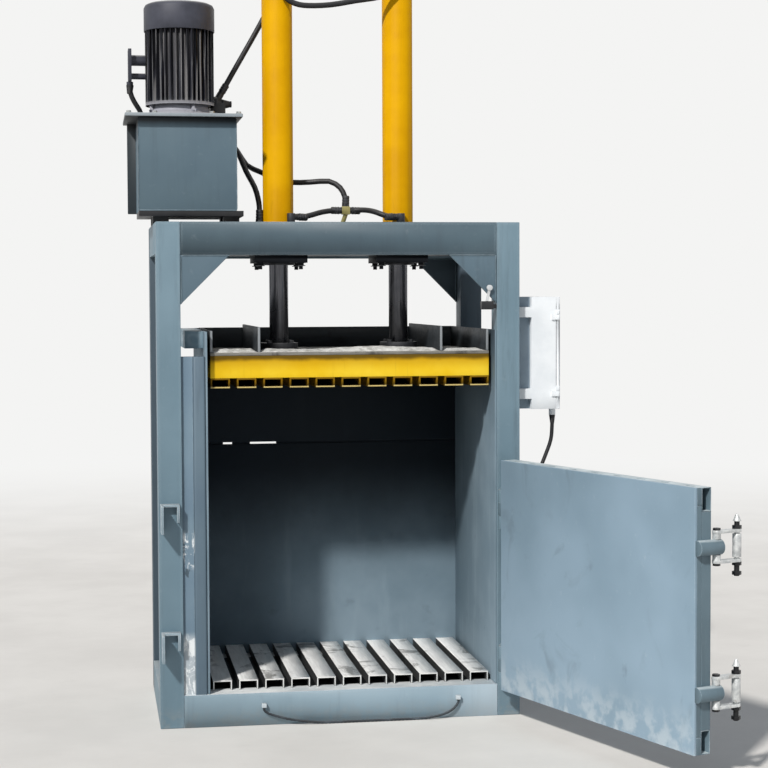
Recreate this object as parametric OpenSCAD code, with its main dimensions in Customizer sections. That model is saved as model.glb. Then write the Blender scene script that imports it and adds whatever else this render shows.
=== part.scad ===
// Vertical recycling baler: portal frame, baling chamber with an open side-hung door,
// twin hydraulic rams pressing a slotted platen, and a tank and motor pack on the top left.
// Millimetres, +Z up. The front faces -Y. The origin lies on the floor in the middle of the frame.

/* [Frame] */
// Width of the frame over its columns
frame_w = 1400; // [1300:10:1600]
// Depth of the frame over its columns
frame_d = 800; // [760:10:1000]
// Height of the frame
frame_h = 1925; // [1900:5:2100]
// Width of a column, seen from the front
col_w = 90; // [85:1:100]
// Depth of a column and of the floor beams
col_d = 100; // [90:1:120]
// Wall of the columns and beams
tube_wall = 8; // [5:1:12]
// Height of the top beams
beam_h = 125; // [110:1:140]
// Depth of the top beams
beam_d = 80; // [60:1:90]
// How far the top beams sit back from the front of the columns
beam_inset = 3; // [1:1:8]
// Leg of a knee gusset
gusset_leg = 188; // [120:1:220]
// Thickness of a knee gusset
gusset_t = 12; // [6:1:20]
// Height of the floor beams
sill_h = 125; // [110:1:140]
// Thickness of the floor plate
floor_t = 8; // [5:1:12]

/* [Chamber] */
// Thickness of the chamber's walls
wall_t = 8; // [5:1:12]
// Width of the service gap left of the chamber
left_gap = 92; // [88:1:110]
// Drop from the top of the frame to the top of the chamber's walls
wall_drop = 415; // [365:5:445]
// Height of the seam in the back wall
seam_z = 1022; // [900:2:1100]
// Opening of that seam
seam_gap = 8; // [4:1:12]
// Thickness of the strip behind the seam
seam_strip_t = 4; // [3:1:8]
// Height of the front jamb beside the door opening
jamb_top = 1415; // [1300:5:1440]
// Side of the jamb tube
jamb_w = 48; // [40:1:52]
// Corner radius of the jamb tube
jamb_r = 10; // [4:1:14]
// Height of the rail on top of the left wall
left_rail_h = 66; // [50:1:66]
// Height and depth of the stiffeners on the outside of the walls
stiff_w = 60; // [40:1:70]
// Depth of the stiffeners behind the back wall
back_stiff_d = 36; // [20:1:50]

/* [Floor channels] */
// Number of strapping channels on the floor and under the platen
channel_n = 11; // [9:1:11]
// Space between the outer channels and the edges of the platen
channel_margin = 1; // [0:1:6]
// Width of a channel
channel_w = 74; // [66:1:78]
// Height of a floor channel
rib_h = 38; // [30:1:45]
// Wall of the channels
channel_wall = 6; // [4:1:8]
// Distance from the front of the frame to the floor channels
rib_front = 70; // [40:5:90]

/* [Platen] */
// Clearance between the platen and the chamber's side walls
platen_clear = 13; // [8:1:20]
// Distance from the front of the frame to the platen
platen_front = 50; // [40:5:80]
// Distance from the back wall to the platen
platen_back = 18; // [12:1:30]
// Height of the underside of the platen's channels at rest
platen_z = 1292; // [1260:2:1320]
// Height of the platen's channels
shoe_h = 38; // [30:1:44]
// Height of the platen's box
platen_box_h = 86; // [70:1:100]
// Wall of the platen's box
platen_box_wall = 20; // [12:1:30]
// Thickness of the ribs inside the platen's box
platen_web_t = 12; // [8:1:16]
// Thickness of the platen's top plate
platen_top_t = 12; // [8:1:16]
// Height of the rim above the top plate
rim_h = 84; // [60:1:90]
// Thickness of the rim and of the ribs
rim_t = 10; // [6:1:12]
// How far the ribs stand above the rim
rib_rise = 13; // [0:1:20]
// Distance of the ribs from the middle of the platen
rib_x = 355; // [340:1:380]

/* [Rams] */
// Distance of each ram from the middle of the chamber
ram_x = 243; // [220:1:260]
// Outside diameter of a barrel
barrel_d = 122; // [116:1:128]
// Bore of a barrel
barrel_bore = 104; // [98:1:108]
// Diameter of a rod
rod_d = 76; // [60:1:80]
// Height of the top of the barrels
barrel_top = 3030; // [3020:5:3100]
// Height of a piston
piston_h = 60; // [40:1:60]
// Distance from the top of the barrels to the underside of the pistons at rest
piston_drop = 375; // [370:1:380]
// Running clearance of rods and pistons, on the radius
ram_clear = 0.05; // [0.02:0.01:0.08]
// Side of a mounting flange
flange_w = 210; // [190:2:220]
// Thickness of a mounting flange
flange_t = 30; // [20:1:35]
// Depth of the bridge that carries the rams
bridge_d = 240; // [220:5:300]
// Thickness of the bridge's plates
bridge_t = 20; // [12:1:25]
// Clearance round the barrels in the bridge, on the radius
barrel_clear = 0.5; // [0.3:0.1:2]
// Diameter of a rod's foot
foot_d = 150; // [120:2:170]
// Height of a rod's foot
foot_h = 28; // [20:1:40]
// Diameter of the bolts at the flanges and feet
bolt_d = 16; // [12:1:20]
// How far the flange bolts hang below their flanges
bolt_hang = 26; // [20:1:32]

/* [Door] */
// Width of the door
door_w = 1178; // [1170:1:1185]
// Height of the underside of the door
door_z = 115; // [105:1:120]
// Height of the door
door_h = 893; // [850:1:950]
// Thickness of the door's inner sheet
door_sheet_t = 10; // [5:1:12]
// Thickness of the flat bars behind the sheet
door_bar_t = 18; // [10:1:20]
// Width of those bars
door_bar_w = 60; // [40:1:80]
// Height of the door's tubes
door_tube_h = 82; // [60:1:90]
// Depth of the door's tubes
door_tube_d = 40; // [30:1:45]
// Wall of the door's tubes
door_tube_wall = 4; // [3:1:8]
// Gap between the closed door and the columns
door_gap = 4; // [3:1:6]
// How far the door stands open
door_open = 110; // [90:1:120]
// Distance from the door's edge to its hinge axis
hinge_reach = 26; // [25.5:0.5:30]
// Outside radius of a hinge knuckle
knuckle_r = 24; // [20:1:24]
// Height of one knuckle
knuckle_h = 50; // [40:1:60]
// Diameter of a hinge pin
hinge_pin_d = 25; // [20:1:28]
// Running clearance of pins, on the radius
pin_clear = 0.05; // [0.02:0.01:0.09]
// Gap between one knuckle and the next
knuckle_gap = 0.4; // [0.3:0.1:1]

/* [Latches] */
// Height of the lower latch
latch_low_z = 320; // [280:1:360]
// Height of the upper latch
latch_high_z = 808; // [760:1:840]
// Radius of a latch boss
boss_r = 26; // [22:1:30]
// Height of the boss along the pin
latch_arm_gap = 90; // [80:1:98]
// Length of a latch arm between its pins
latch_arm = 86; // [80:1:88]
// Width of a latch arm
latch_arm_w = 30; // [26:1:32]
// Thickness of a latch arm
latch_arm_t = 10; // [6:1:12]
// Diameter of the latch's pins and bolts
latch_pin_d = 18; // [14:1:20]
// Diameter of the latch's roller
latch_roller_d = 30; // [26:1:34]
// Depth of a catch in front of the column
catch_d = 96; // [80:1:104]
// Height of a catch
catch_h = 104; // [90:1:120]
// Thickness of a catch's plates
catch_t = 10; // [8:1:12]

/* [Hydraulic pack] */
// Width of the oil tank
tank_w = 380; // [340:5:400]
// Depth of the oil tank
tank_d = 340; // [300:5:400]
// Height of the oil tank
tank_h = 361; // [300:1:400]
// Wall of the oil tank
tank_wall = 4; // [3:1:6]
// Distance of the tank's middle left of the frame's middle
tank_x = 564; // [550:1:570]
// Distance of the tank's middle behind the frame's middle
tank_y = 20; // [0:1:40]
// Height of the tank's underside above the frame
tank_lift = 52; // [40:1:70]
// Thickness of the base plate under the tank
tank_base_t = 21; // [12:1:30]
// How far the base plate stands out on the right
tank_base_over = 26; // [0:1:40]
// Width of the feet under the base plate
tank_foot_w = 62; // [40:1:70]
// Width of the tank's lid
lid_w = 454; // [440:2:470]
// Depth of the tank's lid
lid_d = 420; // [410:2:440]
// Thickness of the tank's lid
lid_t = 14; // [8:1:20]
// How far the tank's back plate stands out on the left
tank_lip = 36; // [20:1:45]
// Diameter of the motor over its fins
motor_d = 270; // [240:2:280]
// Height of the motor's finned body
motor_h = 279; // [260:1:310]
// Number of fins
fin_n = 40; // [30:2:48]
// Depth of a fin
fin_h = 16; // [10:1:20]
// Thickness of a fin
fin_t = 5; // [3:0.5:6]
// Height of the fan cowl
cowl_h = 108; // [90:1:120]
// Height of the bell between the lid and the motor
motor_flange_h = 55; // [45:1:60]
// Diameter of the motor's shaft
shaft_d = 38; // [30:1:42]
// Running clearance of the motor's shaft, on the radius
shaft_clear = 0.05; // [0.02:0.01:0.08]

/* [Control cabinet] */
// Thickness of the cabinet, side to side
cab_w = 114; // [104:1:130]
// Depth of the cabinet, front to back
cab_d = 380; // [340:5:420]
// Height of the cabinet
cab_h = 440; // [400:5:480]
// Height of the cabinet's underside
cab_z = 1196; // [1150:2:1250]
// Distance from the front of the frame to the cabinet
cab_front = 50; // [30:1:80]
// Gap between the frame and the cabinet
cab_gap = 60; // [50:1:70]
// Wall of the cabinet
cab_wall = 3; // [2:0.5:4]
// Thickness of the cabinet's door
cab_door_t = 16; // [12:1:20]
// Diameter of a push button
button_d = 28; // [22:1:34]
// How far a push button stands out
button_h = 9; // [6:1:12]

/* [Hoses and leads] */
// Diameter of the hydraulic hoses
hose_d = 22; // [18:1:24]
// Diameter of the motor's lead
motor_lead_d = 20; // [16:1:22]
// Diameter of the cabinet's lead
lead_d = 15; // [12:1:16]
// Diameter of the pull rope at the sill
rope_d = 10; // [8:1:12]

/* [Hidden] */
$fn = 48;
eps = 1;
half_w = frame_w / 2;
half_d = frame_d / 2;
front_y = -half_d;
col_in = half_w - col_w;
beam_z = frame_h - beam_h;

chamber_l = -col_in + left_gap + wall_t;
chamber_r = col_in - wall_t;
chamber_x = (chamber_l + chamber_r) / 2;
back_y = half_d - wall_t - tube_wall / 2;
stiff_z = [400, 800, 1200];
wall_top = frame_h - wall_drop;
rail_z = wall_top - left_rail_h;
jamb_gap = 1;
jamb_step = 14;
jamb_x = chamber_l - wall_t - jamb_gap - jamb_w;
jamb_plate_y = front_y + jamb_w + 4;

platen_l = chamber_l + platen_clear;
platen_r = chamber_r - platen_clear;
strip_w = platen_r - platen_l - 2 * channel_margin;
channel_pitch = (strip_w - channel_w) / (channel_n - 1);
channel_x = chamber_x - strip_w / 2;
platen_f = front_y + platen_front;
platen_b = back_y - platen_back;
box_z = platen_z + shoe_h;
top_z = box_z + platen_box_h;
deck_z = top_z + platen_top_t;
foot_z = deck_z + foot_h;

flange_z = beam_z - flange_t + 5;
gland_z = flange_z - 8;
bridge_z = flange_z + flange_t;

pivot_x = col_in + 20;
door_r = pivot_x - hinge_reach;
door_l = door_r - door_w;
door_in = front_y - door_gap;
bar_y = door_in - door_sheet_t;
tube_y = bar_y - door_bar_t;
door_out = tube_y - door_tube_d;
pivot_y = (door_in + door_out) / 2;
crossbar_z = [330, 560];
hinge_z = [205, 815];

latch_x = door_l - 6;
latch_y = door_out - 18;
boss_x = door_l - 8;
boss_end = latch_y - 14;
latch_z = [latch_low_z, latch_high_z];
bolt_tail = 26;
bolt_foot = 48;
nut_h = 12;
cone_h = 24;
catch_l = -half_w + 6;
catch_w = 72;

tank_z = frame_h + tank_lift;
lid_z = tank_z + tank_h;
deck_top = lid_z + lid_t;
motor_x = -tank_x - 21;
motor_z = deck_top + motor_flange_h;
cowl_z = motor_z + motor_h;
pump_h = 90;
strainer_h = 90;
strainer_d = 50;
shaft_in = 58;
fan_d = 200;
hub_d = 70;
box_x = motor_x - motor_d / 2 - 54;
box_t = 13;
box_d = 96;
box_z0 = motor_z + 82;
box_h = 125;
lead_gland = [box_x - box_t / 2, 0, box_z0 - 13];
valve_low = [motor_x + 125, 60, deck_top];
valve_high = [motor_x + 185, 120, deck_top + 66];
valve_ports = [valve_low[0] + 15, valve_low[0] + 45];
valve_port_z = deck_top + 48;
valve_axis_y = (valve_low[1] + valve_high[1]) / 2;
riser_base = [valve_low[0] + 15, valve_axis_y, valve_high[2] - 10];
riser_lean = 30.8;
riser_port_l = 56;
riser_way = [sin(riser_lean), 0, cos(riser_lean)];
riser_start = riser_base + riser_port_l * riser_way;
rope_ends = [[-306, 70], [451, 72]];
lug_w = 18;
lug_h = 16;
lug_reach = 20;
switch_w = 46;
switch_x = col_in - 16 - switch_w;
switch_y = front_y - 14;
switch_z = frame_h - 337;
lever_w = 10;
lever_l = 62;

cab_x = half_w + cab_gap;
cab_y = front_y + cab_front;
cab_body_w = cab_w - cab_door_t;
cab_face = cab_x + cab_w;
cab_gland = [cab_x + cab_body_w - 3, cab_y + 50, cab_z - 26];
lead_entry = [half_w, cab_y, 824];
entry_l = 14;
cab_part_d = 28;
cab_hinge_x = cab_x + cab_body_w + 8;
cab_hinge_y = cab_y - 7;
cab_hinge_z = [cab_z + 70, cab_z + cab_h - 70];
button_z = [cab_z + 250, cab_z + 310];
button_y = cab_y + cab_d / 2;
lock_y = cab_y + cab_d - 30;

port_reach = 14;
port_low = frame_h + 4;
port_high = frame_h + 20;
banjo_high = frame_h + 47;
stub_z = frame_h + 33;
stub_l = 25.7;
top_port_low = barrel_top - 105;
top_port_high = barrel_top - 85;
tee_low = [60, -14, frame_h + 45];
tee_high = [92, 14, frame_h + 77];
post_d = 18;

lead_post = [-675, 278, 20];

ring_sides = 10;
// Points at a height above a level that moves with the frame or the barrels
function above(level, points) = [for (p = points) [p[0], p[1], p[2] + level]];
feed_hose_route = above(frame_h, [
    [-415, 134, 475], [-415, 200, 475], [-415, 244, 465], [-410, 272, 425], [-392, 278, 370],
    [-341, 228, 314], [-306, 195, 255], [-254, 140, 223], [-197, 110, 197], [-138, 95, 179],
    [-59, 75, 179], [15, 45, 181], [56, 15, 154], [72, 2, 120], [76, 0, 97], [76, 0, 77]]);
left_hose_route = above(frame_h, [
    [-445, 134, 475], [-445, 190, 475], [-441, 230, 467], [-430, 250, 437], [-408, 250, 395],
    [-374, 232, 350], [-343, 200, 312], [-313, 140, 227], [-284, 66, 155], [-273, 18, 95],
    [-272, 0, 50], [-272, 0, 20]]);
left_link_route = above(frame_h, [
    [60, 0, 61], [44, 0, 61], [8, -6, 59], [-30, -18, 52], [-68, -33, 41], [-104, -45, 33],
    [-127, -52, 33]]);
right_link_route = above(frame_h, [
    [92, 0, 61], [106, 0, 61], [132, -10, 63], [160, -31, 61], [186, -56, 54], [211, -77, 43],
    [240, -87, 33], [264, -81, 33]]);
riser_hose_route = concat([riser_start, riser_start + 25 * riser_way],
    above(frame_h, [[-368, 90, 615], [-316, 91, 705], [-268, 92, 789], [-228, 94, 865]]),
    above(barrel_top, [[-204, 84, -170], [-197, 75, -130], [-197, 75, -105]]));
top_link_route = above(barrel_top, [
    [-197, -75, -105], [-197, -75, -130], [-190, -78, -175], [-170, -80, -212], [-130, -82, -234],
    [-80, -84, -241], [8, -84, -236], [108, -84, -218], [208, -84, -200], [264, -82, -170],
    [289, -75, -130], [289, -75, -105]]);
motor_lead_route = above(frame_h, [
    [-780, 0, 551], [-780, 0, 531], [-773, 2, 505], [-759, 6, 479], [-744, 16, 457], [-736, 44, 442],
    [-724, 100, 438], [-704, 160, 438], [-690, 210, 441], [-684, 234, 439], [-679, 258, 429],
    [-676, 284, 401], [-675, 294, 361], [-675, 290, 275], [-675, 280, 175], [-675, 278, 85],
    [-675, 278, 20]]);
cabinet_lead_route = [cab_gland, cab_gland - [0, 0, 40], [849, -302, 1070], [824, -306, 1004],
    [796, -314, 940], [774, -326, 880], [754, -340, 842], lead_entry + [entry_l + 20, 0, 0],
    lead_entry + [entry_l, 0, 0]];
rope_route = [[-306, -412, 70], [-306, -412, 60], [-288, -414, 46], [-232, -418, 28], [-168, -420, 15],
    [-104, -420, 7], [-50, -420, 5], [60, -420, 5], [200, -420, 5], [320, -420, 6], [385, -420, 16],
    [428, -416, 34], [451, -412, 60], [451, -412, 72]];

// A block from its lowest corner to its highest corner
module block(low, high) {
    translate(low) cube(high - low);
}

// A hollow tube along X, open at both ends
module tube_x(low, high, wall) {
    difference() {
        block(low, high);
        block(low + [-eps, wall, wall], high + [eps, -wall, -wall]);
    }
}

// A hollow tube along Y, open at both ends
module tube_y(low, high, wall) {
    difference() {
        block(low, high);
        block(low + [wall, -eps, wall], high + [-wall, eps, -wall]);
    }
}

// A column with a foot plate and a cap welded on
module column(low, high) {
    difference() {
        block(low, high);
        block(low + [tube_wall, tube_wall, tube_wall], high - [tube_wall, tube_wall, tube_wall]);
    }
}

module in_front_and_behind() {
    children();
    mirror([0, 1, 0]) children();
}

module left_and_right() {
    children();
    mirror([1, 0, 0]) children();
}

module at_rams() {
    for (side = [-1, 1])
        translate([chamber_x + side * ram_x, 0, 0]) children();
}

module bolt_corners(reach) {
    for (x = [-1, 1], y = [-1, 1])
        translate([x * reach, y * reach, 0]) children();
}

module front_columns() {
    color("slategray") left_and_right() column([col_in, front_y, 0], [half_w, front_y + col_d, frame_h]);
}

module rear_columns() {
    color("slategray") left_and_right() column([col_in, half_d - col_d, 0], [half_w, half_d, frame_h]);
}

module crossbeams() {
    color("slategray") in_front_and_behind()
        tube_x([-col_in, front_y + beam_inset, beam_z],
            [col_in, front_y + beam_inset + beam_d, frame_h], tube_wall);
}

module knee_gussets() {
    color("slategray") in_front_and_behind() left_and_right()
        translate([col_in, front_y + beam_inset + gusset_t, beam_z]) rotate([90, 0, 0])
            linear_extrude(gusset_t) polygon([[0, 0], [-gusset_leg, 0], [0, -gusset_leg]]);
}

module top_side_rails() {
    color("slategray") left_and_right()
        tube_y([col_in, front_y + col_d, beam_z + 5], [half_w, half_d - col_d, frame_h], tube_wall);
}

module ram_bridge() {
    color("slategray") difference() {
        tube_x([-col_in, -bridge_d / 2, bridge_z], [col_in, bridge_d / 2, frame_h], bridge_t);
        at_rams() translate([0, 0, bridge_z - eps])
            cylinder(d = barrel_d + 2 * barrel_clear, h = frame_h - bridge_z + 2 * eps);
    }
}

module sills() {
    color("slategray") in_front_and_behind()
        tube_x([-col_in, front_y, 0], [col_in, front_y + col_d, sill_h], tube_wall);
}

module base_rails() {
    color("slategray") {
        left_and_right() tube_y([col_in, front_y + col_d, 0], [half_w, half_d - col_d, sill_h], tube_wall);
        tube_y([-col_w / 2, front_y + col_d, 0], [col_w / 2, half_d - col_d, sill_h - floor_t], tube_wall);
    }
}

module floor_plate() {
    color("gray") block([-col_in, front_y + col_d, sill_h - floor_t], [col_in, half_d - col_d, sill_h]);
}

// One channel, open at its front and back: closed below when boxed, open below otherwise
module channel(height, y0, y1, boxed) {
    floor_z = boxed ? channel_wall : -eps;
    difference() {
        block([0, y0, 0], [channel_w, y1, height]);
        block([channel_wall, y0 - eps, floor_z], [channel_w - channel_wall, y1 + eps, height - channel_wall]);
    }
}

module channels(height, y0, y1, boxed) {
    for (i = [0 : channel_n - 1])
        translate([channel_x + i * channel_pitch, 0, 0]) channel(height, y0, y1, boxed);
}

module floor_channels() {
    color("silver") translate([0, 0, sill_h]) channels(rib_h, front_y + rib_front, back_y, false);
}

module side_walls() {
    color("slategray") for (x = [chamber_l - wall_t, chamber_r])
        block([x, front_y + 6, sill_h], [x + wall_t, back_y, wall_top]);
}

// The back wall is an upper and a lower plate with a narrow seam between them
module back_wall() {
    color("slategray") {
        block([chamber_l - wall_t, back_y, sill_h],
            [chamber_r + wall_t, back_y + wall_t, seam_z - seam_gap / 2]);
        block([chamber_l - wall_t, back_y, seam_z + seam_gap / 2],
            [chamber_r + wall_t, back_y + wall_t, wall_top]);
    }
}

// Strips close the seam from behind except at two short slots
module seam_strip() {
    ends = [[chamber_l - wall_t, -397], [-359, -283], [-172, chamber_r + wall_t]];
    color("slategray") for (e = ends)
        block([e[0], back_y + wall_t, seam_z - 18], [e[1], back_y + wall_t + seam_strip_t, seam_z + 18]);
}

module wall_stiffeners() {
    color("slategray") for (z = stiff_z) translate([0, 0, z]) {
        tube_y([chamber_l - wall_t - stiff_w, front_y + col_d, 0],
            [chamber_l - wall_t, half_d - col_d, stiff_w], tube_wall / 2);
        tube_y([col_in, front_y + col_d, 0], [col_in + stiff_w, half_d - col_d, stiff_w], tube_wall / 2);
        tube_x([chamber_l, back_y + wall_t, 0], [chamber_r, back_y + wall_t + back_stiff_d, stiff_w],
            tube_wall / 2);
    }
    // The rail on top of the left wall is closed at its front
    color("slategray") difference() {
        block([20 - col_in, front_y + col_d + 8, rail_z], [chamber_l - wall_t, back_y, wall_top]);
        block([24 - col_in, front_y + col_d + 12, rail_z + 4],
            [chamber_l - wall_t - 4, back_y + eps, wall_top - 4]);
    }
}

// The jamb is a round-cornered tube in front of a plate that closes the gap beside the chamber
module front_jamb() {
    color("slategray") {
        translate([jamb_x, front_y + 2, sill_h]) difference() {
            rounded_bar(jamb_w, jamb_w, jamb_r, jamb_top - sill_h);
            translate([4, 4, -eps])
                rounded_bar(jamb_w - 8, jamb_w - 8, jamb_r - 3, jamb_top - sill_h - 4 + eps);
        }
        block([-col_in, jamb_plate_y, sill_h], [chamber_l - wall_t, jamb_plate_y + wall_t, jamb_top]);
        block([-col_in, front_y + jamb_step, sill_h], [jamb_x, front_y + jamb_step + wall_t, jamb_top]);
    }
}

module rounded_bar(w, d, r, h) {
    linear_extrude(h) union() {
        translate([r, 0]) square([w - 2 * r, d]);
        translate([0, r]) square([w, d - 2 * r]);
        for (x = [r, w - r], y = [r, d - r]) translate([x, y]) circle(r);
    }
}

// A catch is a hooked bracket: one long leg, a short leg and a notched top plate
module latch_catches() {
    color("slategray") for (z = latch_z) translate([catch_l, front_y, z - catch_h / 2]) {
        block([0, -catch_d, 0], [catch_t, 0, catch_h - catch_t]);
        block([catch_w - catch_t, -catch_d / 3, catch_h / 3], [catch_w, 0, catch_h - catch_t]);
        block([0, -catch_d, catch_h - catch_t], [catch_t, 0, catch_h]);
        block([catch_t, -catch_d / 3, catch_h - catch_t], [catch_w, 0, catch_h]);
    }
}

// Turns the closed door about its hinge to where it stands open
module door_pose() {
    translate([pivot_x, pivot_y, 0]) rotate([0, 0, door_open]) translate([-pivot_x, -pivot_y, 0]) children();
}

module knuckle(z0, z1) {
    translate([pivot_x, pivot_y, z0]) cylinder(r = knuckle_r, h = z1 - z0);
}

module hinge_bore() {
    translate([pivot_x, pivot_y, 0]) cylinder(d = hinge_pin_d + 2 * pin_clear, h = frame_h);
}

// Each hinge has two knuckles on the column, a headed pin, and the door's knuckle between them
module door_hinges() {
    pin_half = 1.5 * knuckle_h + knuckle_gap;
    color("slategray") difference() {
        for (z = hinge_z, side = [-1, 1]) translate([0, 0, z + side * (knuckle_h + knuckle_gap)]) {
            knuckle(-knuckle_h / 2, knuckle_h / 2);
            block([pivot_x - 14, pivot_y, -knuckle_h / 2], [pivot_x + 14, front_y, knuckle_h / 2]);
        }
        hinge_bore();
    }
    color("dimgray") for (z = hinge_z) translate([pivot_x, pivot_y, z]) {
        translate([0, 0, -pin_half - 6]) cylinder(d = hinge_pin_d, h = 2 * pin_half + 6);
        translate([0, 0, pin_half]) cylinder(d = hinge_pin_d + 10, h = 8);
    }
}

// Eyes on the sill hold the ends of the rope
module rope_lugs() {
    color("slategray") for (end = rope_ends)
        translate([end[0], front_y, end[1]]) block([-lug_w / 2, -lug_reach, 0], [lug_w / 2, 0, lug_h]);
}

module door_hinge_leaves() {
    color("slategray") door_pose() difference() {
        for (z = hinge_z) translate([0, 0, z]) {
            knuckle(-knuckle_h / 2, knuckle_h / 2);
            block([door_r, pivot_y - 12, -knuckle_h / 2], [pivot_x, pivot_y + 12, knuckle_h / 2]);
        }
        hinge_bore();
    }
}

module door_sheet() {
    color("lightslategray") door_pose()
        block([door_l, bar_y, door_z], [door_r, door_in, door_z + door_h]);
}

// Four flat bars with narrow joints between them
module door_edge_bars() {
    joint = 0.4;
    color("lightslategray") door_pose() {
        for (z = [door_z, door_z + door_h - door_bar_w])
            block([door_l, tube_y, z], [door_r, bar_y, z + door_bar_w]);
        for (x = [door_l, door_r - door_bar_w])
            block([x, tube_y, door_z + door_bar_w + joint],
                [x + door_bar_w, bar_y, door_z + door_h - door_bar_w - joint]);
    }
}

// The top and bottom rails run the whole width, so their open ends show at the free edge
module door_rails() {
    color("slategray") door_pose() {
        for (z = [door_z, door_z + door_h - door_tube_h])
            tube_x([door_l, door_out, z], [door_r, tube_y, z + door_tube_h], door_tube_wall);
        for (z = crossbar_z)
            tube_x([door_l + door_bar_w, door_out, z], [door_r - door_bar_w, tube_y, z + door_tube_h],
                door_tube_wall);
        // Pads carry the crossbars on the sheet
        for (z = crossbar_z, x = [door_l + 300, door_r - 340])
            block([x, tube_y, z + 10], [x + 40, bar_y, z + door_tube_h - 10]);
    }
}

module door_stiles() {
    color("slategray") door_pose() for (x = [door_l, door_r - door_bar_w])
        block([x, door_out, door_z + door_tube_h], [x + door_bar_w, tube_y, door_z + door_h - door_tube_h]);
}

// A round boss lies across the free edge and carries the latch's upright pin
module door_latch_bosses() {
    color("slategray") door_pose() for (z = latch_z) difference() {
        translate([boss_x, door_in - 2, z]) rotate([90, 0, 0]) cylinder(r = boss_r, h = door_in - 2 - boss_end);
        block([door_l, door_out, z - boss_r - eps], [door_l + boss_r, door_in, z + boss_r + eps]);
        translate([latch_x, latch_y, z - boss_r - eps])
            cylinder(d = latch_pin_d + 2 * pin_clear, h = 2 * boss_r + 2 * eps);
    }
}

// The latch points out from the closed door's face at rest
module latch_arms() {
    difference() {
        for (side = [-1, 1]) translate([0, 0, side * (latch_arm_gap + latch_arm_t) / 2]) {
            translate([-latch_arm_w / 2, -latch_arm, -latch_arm_t / 2])
                cube([latch_arm_w, latch_arm, latch_arm_t]);
            for (y = [0, -latch_arm]) translate([0, y, -latch_arm_t / 2])
                cylinder(d = latch_arm_w, h = latch_arm_t);
            translate([0, 0, -side * (latch_arm_gap / 2 + latch_arm_t / 2)]) mirror([0, 0, side < 0 ? 1 : 0])
                translate([0, 0, boss_r + 0.3]) cylinder(d = latch_arm_w - 2, h = latch_arm_gap / 2 - boss_r);
        }
        for (y = [0, -latch_arm]) translate([0, y, -latch_arm_gap])
            cylinder(d = latch_pin_d + 2 * pin_clear, h = 2 * latch_arm_gap);
    }
}

module nut(d, h) {
    cylinder(d = d, h = h, $fn = 6);
}

// The pivot pin, and the outer bolt with its roller, nuts and pointed end
module latch_bolts() {
    reach = latch_arm_gap / 2 + latch_arm_t;
    translate([0, 0, -reach]) cylinder(d = latch_pin_d, h = 2 * reach);
    translate([0, 0, reach]) nut(latch_pin_d + 8, 8);
    translate([0, 0, -reach - 8]) nut(latch_pin_d + 8, 8);
    translate([0, -latch_arm, 0]) {
        translate([0, 0, -reach - bolt_foot])
            cylinder(d = latch_pin_d, h = 2 * reach + bolt_foot + bolt_tail);
        translate([0, 0, 6 - latch_arm_gap / 2]) cylinder(d = latch_roller_d, h = latch_arm_gap - 12);
        for (nut_z = [reach, -reach - nut_h, 4 - reach - bolt_foot]) translate([0, 0, nut_z])
            nut(latch_pin_d + 14, nut_h);
        translate([0, 0, reach + bolt_tail]) cylinder(d1 = latch_pin_d + 10, d2 = 8, h = cone_h);
    }
}

module latch(z) {
    door_pose() translate([latch_x, latch_y, z]) {
        color("silver") latch_arms();
        color("dimgray") latch_bolts();
    }
}

module upper_latch() {
    latch(latch_high_z);
}

module lower_latch() {
    latch(latch_low_z);
}

// A hollow box with crossed ribs inside
module platen_box() {
    low = [platen_l + platen_box_wall, platen_f + platen_box_wall, box_z];
    high = [platen_r - platen_box_wall, platen_b - platen_box_wall, top_z];
    color("gold") {
        difference() {
            block([platen_l, platen_f, box_z], [platen_r, platen_b, top_z]);
            block(low - [0, 0, eps], high + [0, 0, eps]);
        }
        for (i = [1 : 3])
            translate([low[0] + i * (high[0] - low[0]) / 4 - platen_web_t / 2, low[1], box_z])
                cube([platen_web_t, high[1] - low[1], platen_box_h]);
        for (i = [1 : 2])
            translate([low[0], low[1] + i * (high[1] - low[1]) / 3 - platen_web_t / 2, box_z])
                cube([high[0] - low[0], platen_web_t, platen_box_h]);
    }
}

module platen_channels() {
    color("gold") translate([0, 0, platen_z]) channels(shoe_h, platen_f, platen_b, true);
}

module platen_deck() {
    color("silver") block([platen_l, platen_f, top_z], [platen_r, platen_b, deck_z]);
}

// Side and rear rim plates with two ribs between the front edge and the rear rim
module platen_rim() {
    rim_top = deck_z + rim_h;
    rib_back = platen_b - rim_t;
    color("dimgray") {
        block([platen_l, rib_back, deck_z], [platen_r, platen_b, rim_top]);
        block([platen_l, platen_f + 10, deck_z], [platen_l + rim_t, rib_back, rim_top]);
        block([platen_r - rim_t, platen_f + 10, deck_z], [platen_r, rib_back, rim_top]);
        for (side = [-1, 1]) translate([chamber_x + side * rib_x, 0, 0])
            block([-rim_t / 2, platen_f + 10, deck_z], [rim_t / 2, rib_back, rim_top + rib_rise]);
    }
}

module rod_feet() {
    color("dimgray") at_rams() translate([0, 0, deck_z]) {
        cylinder(d = foot_d, h = foot_h);
        bolt_corners(foot_d / 2 - 32) translate([0, 0, foot_h]) nut(bolt_d + 6, 10);
    }
}

// Each rod carries its piston inside the barrel
module rods() {
    color("gray") at_rams() {
        translate([0, 0, foot_z]) cylinder(d = rod_d, h = barrel_top - piston_drop - foot_z);
        translate([0, 0, barrel_top - piston_drop]) cylinder(r = barrel_bore / 2 - ram_clear, h = piston_h);
    }
}

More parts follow.
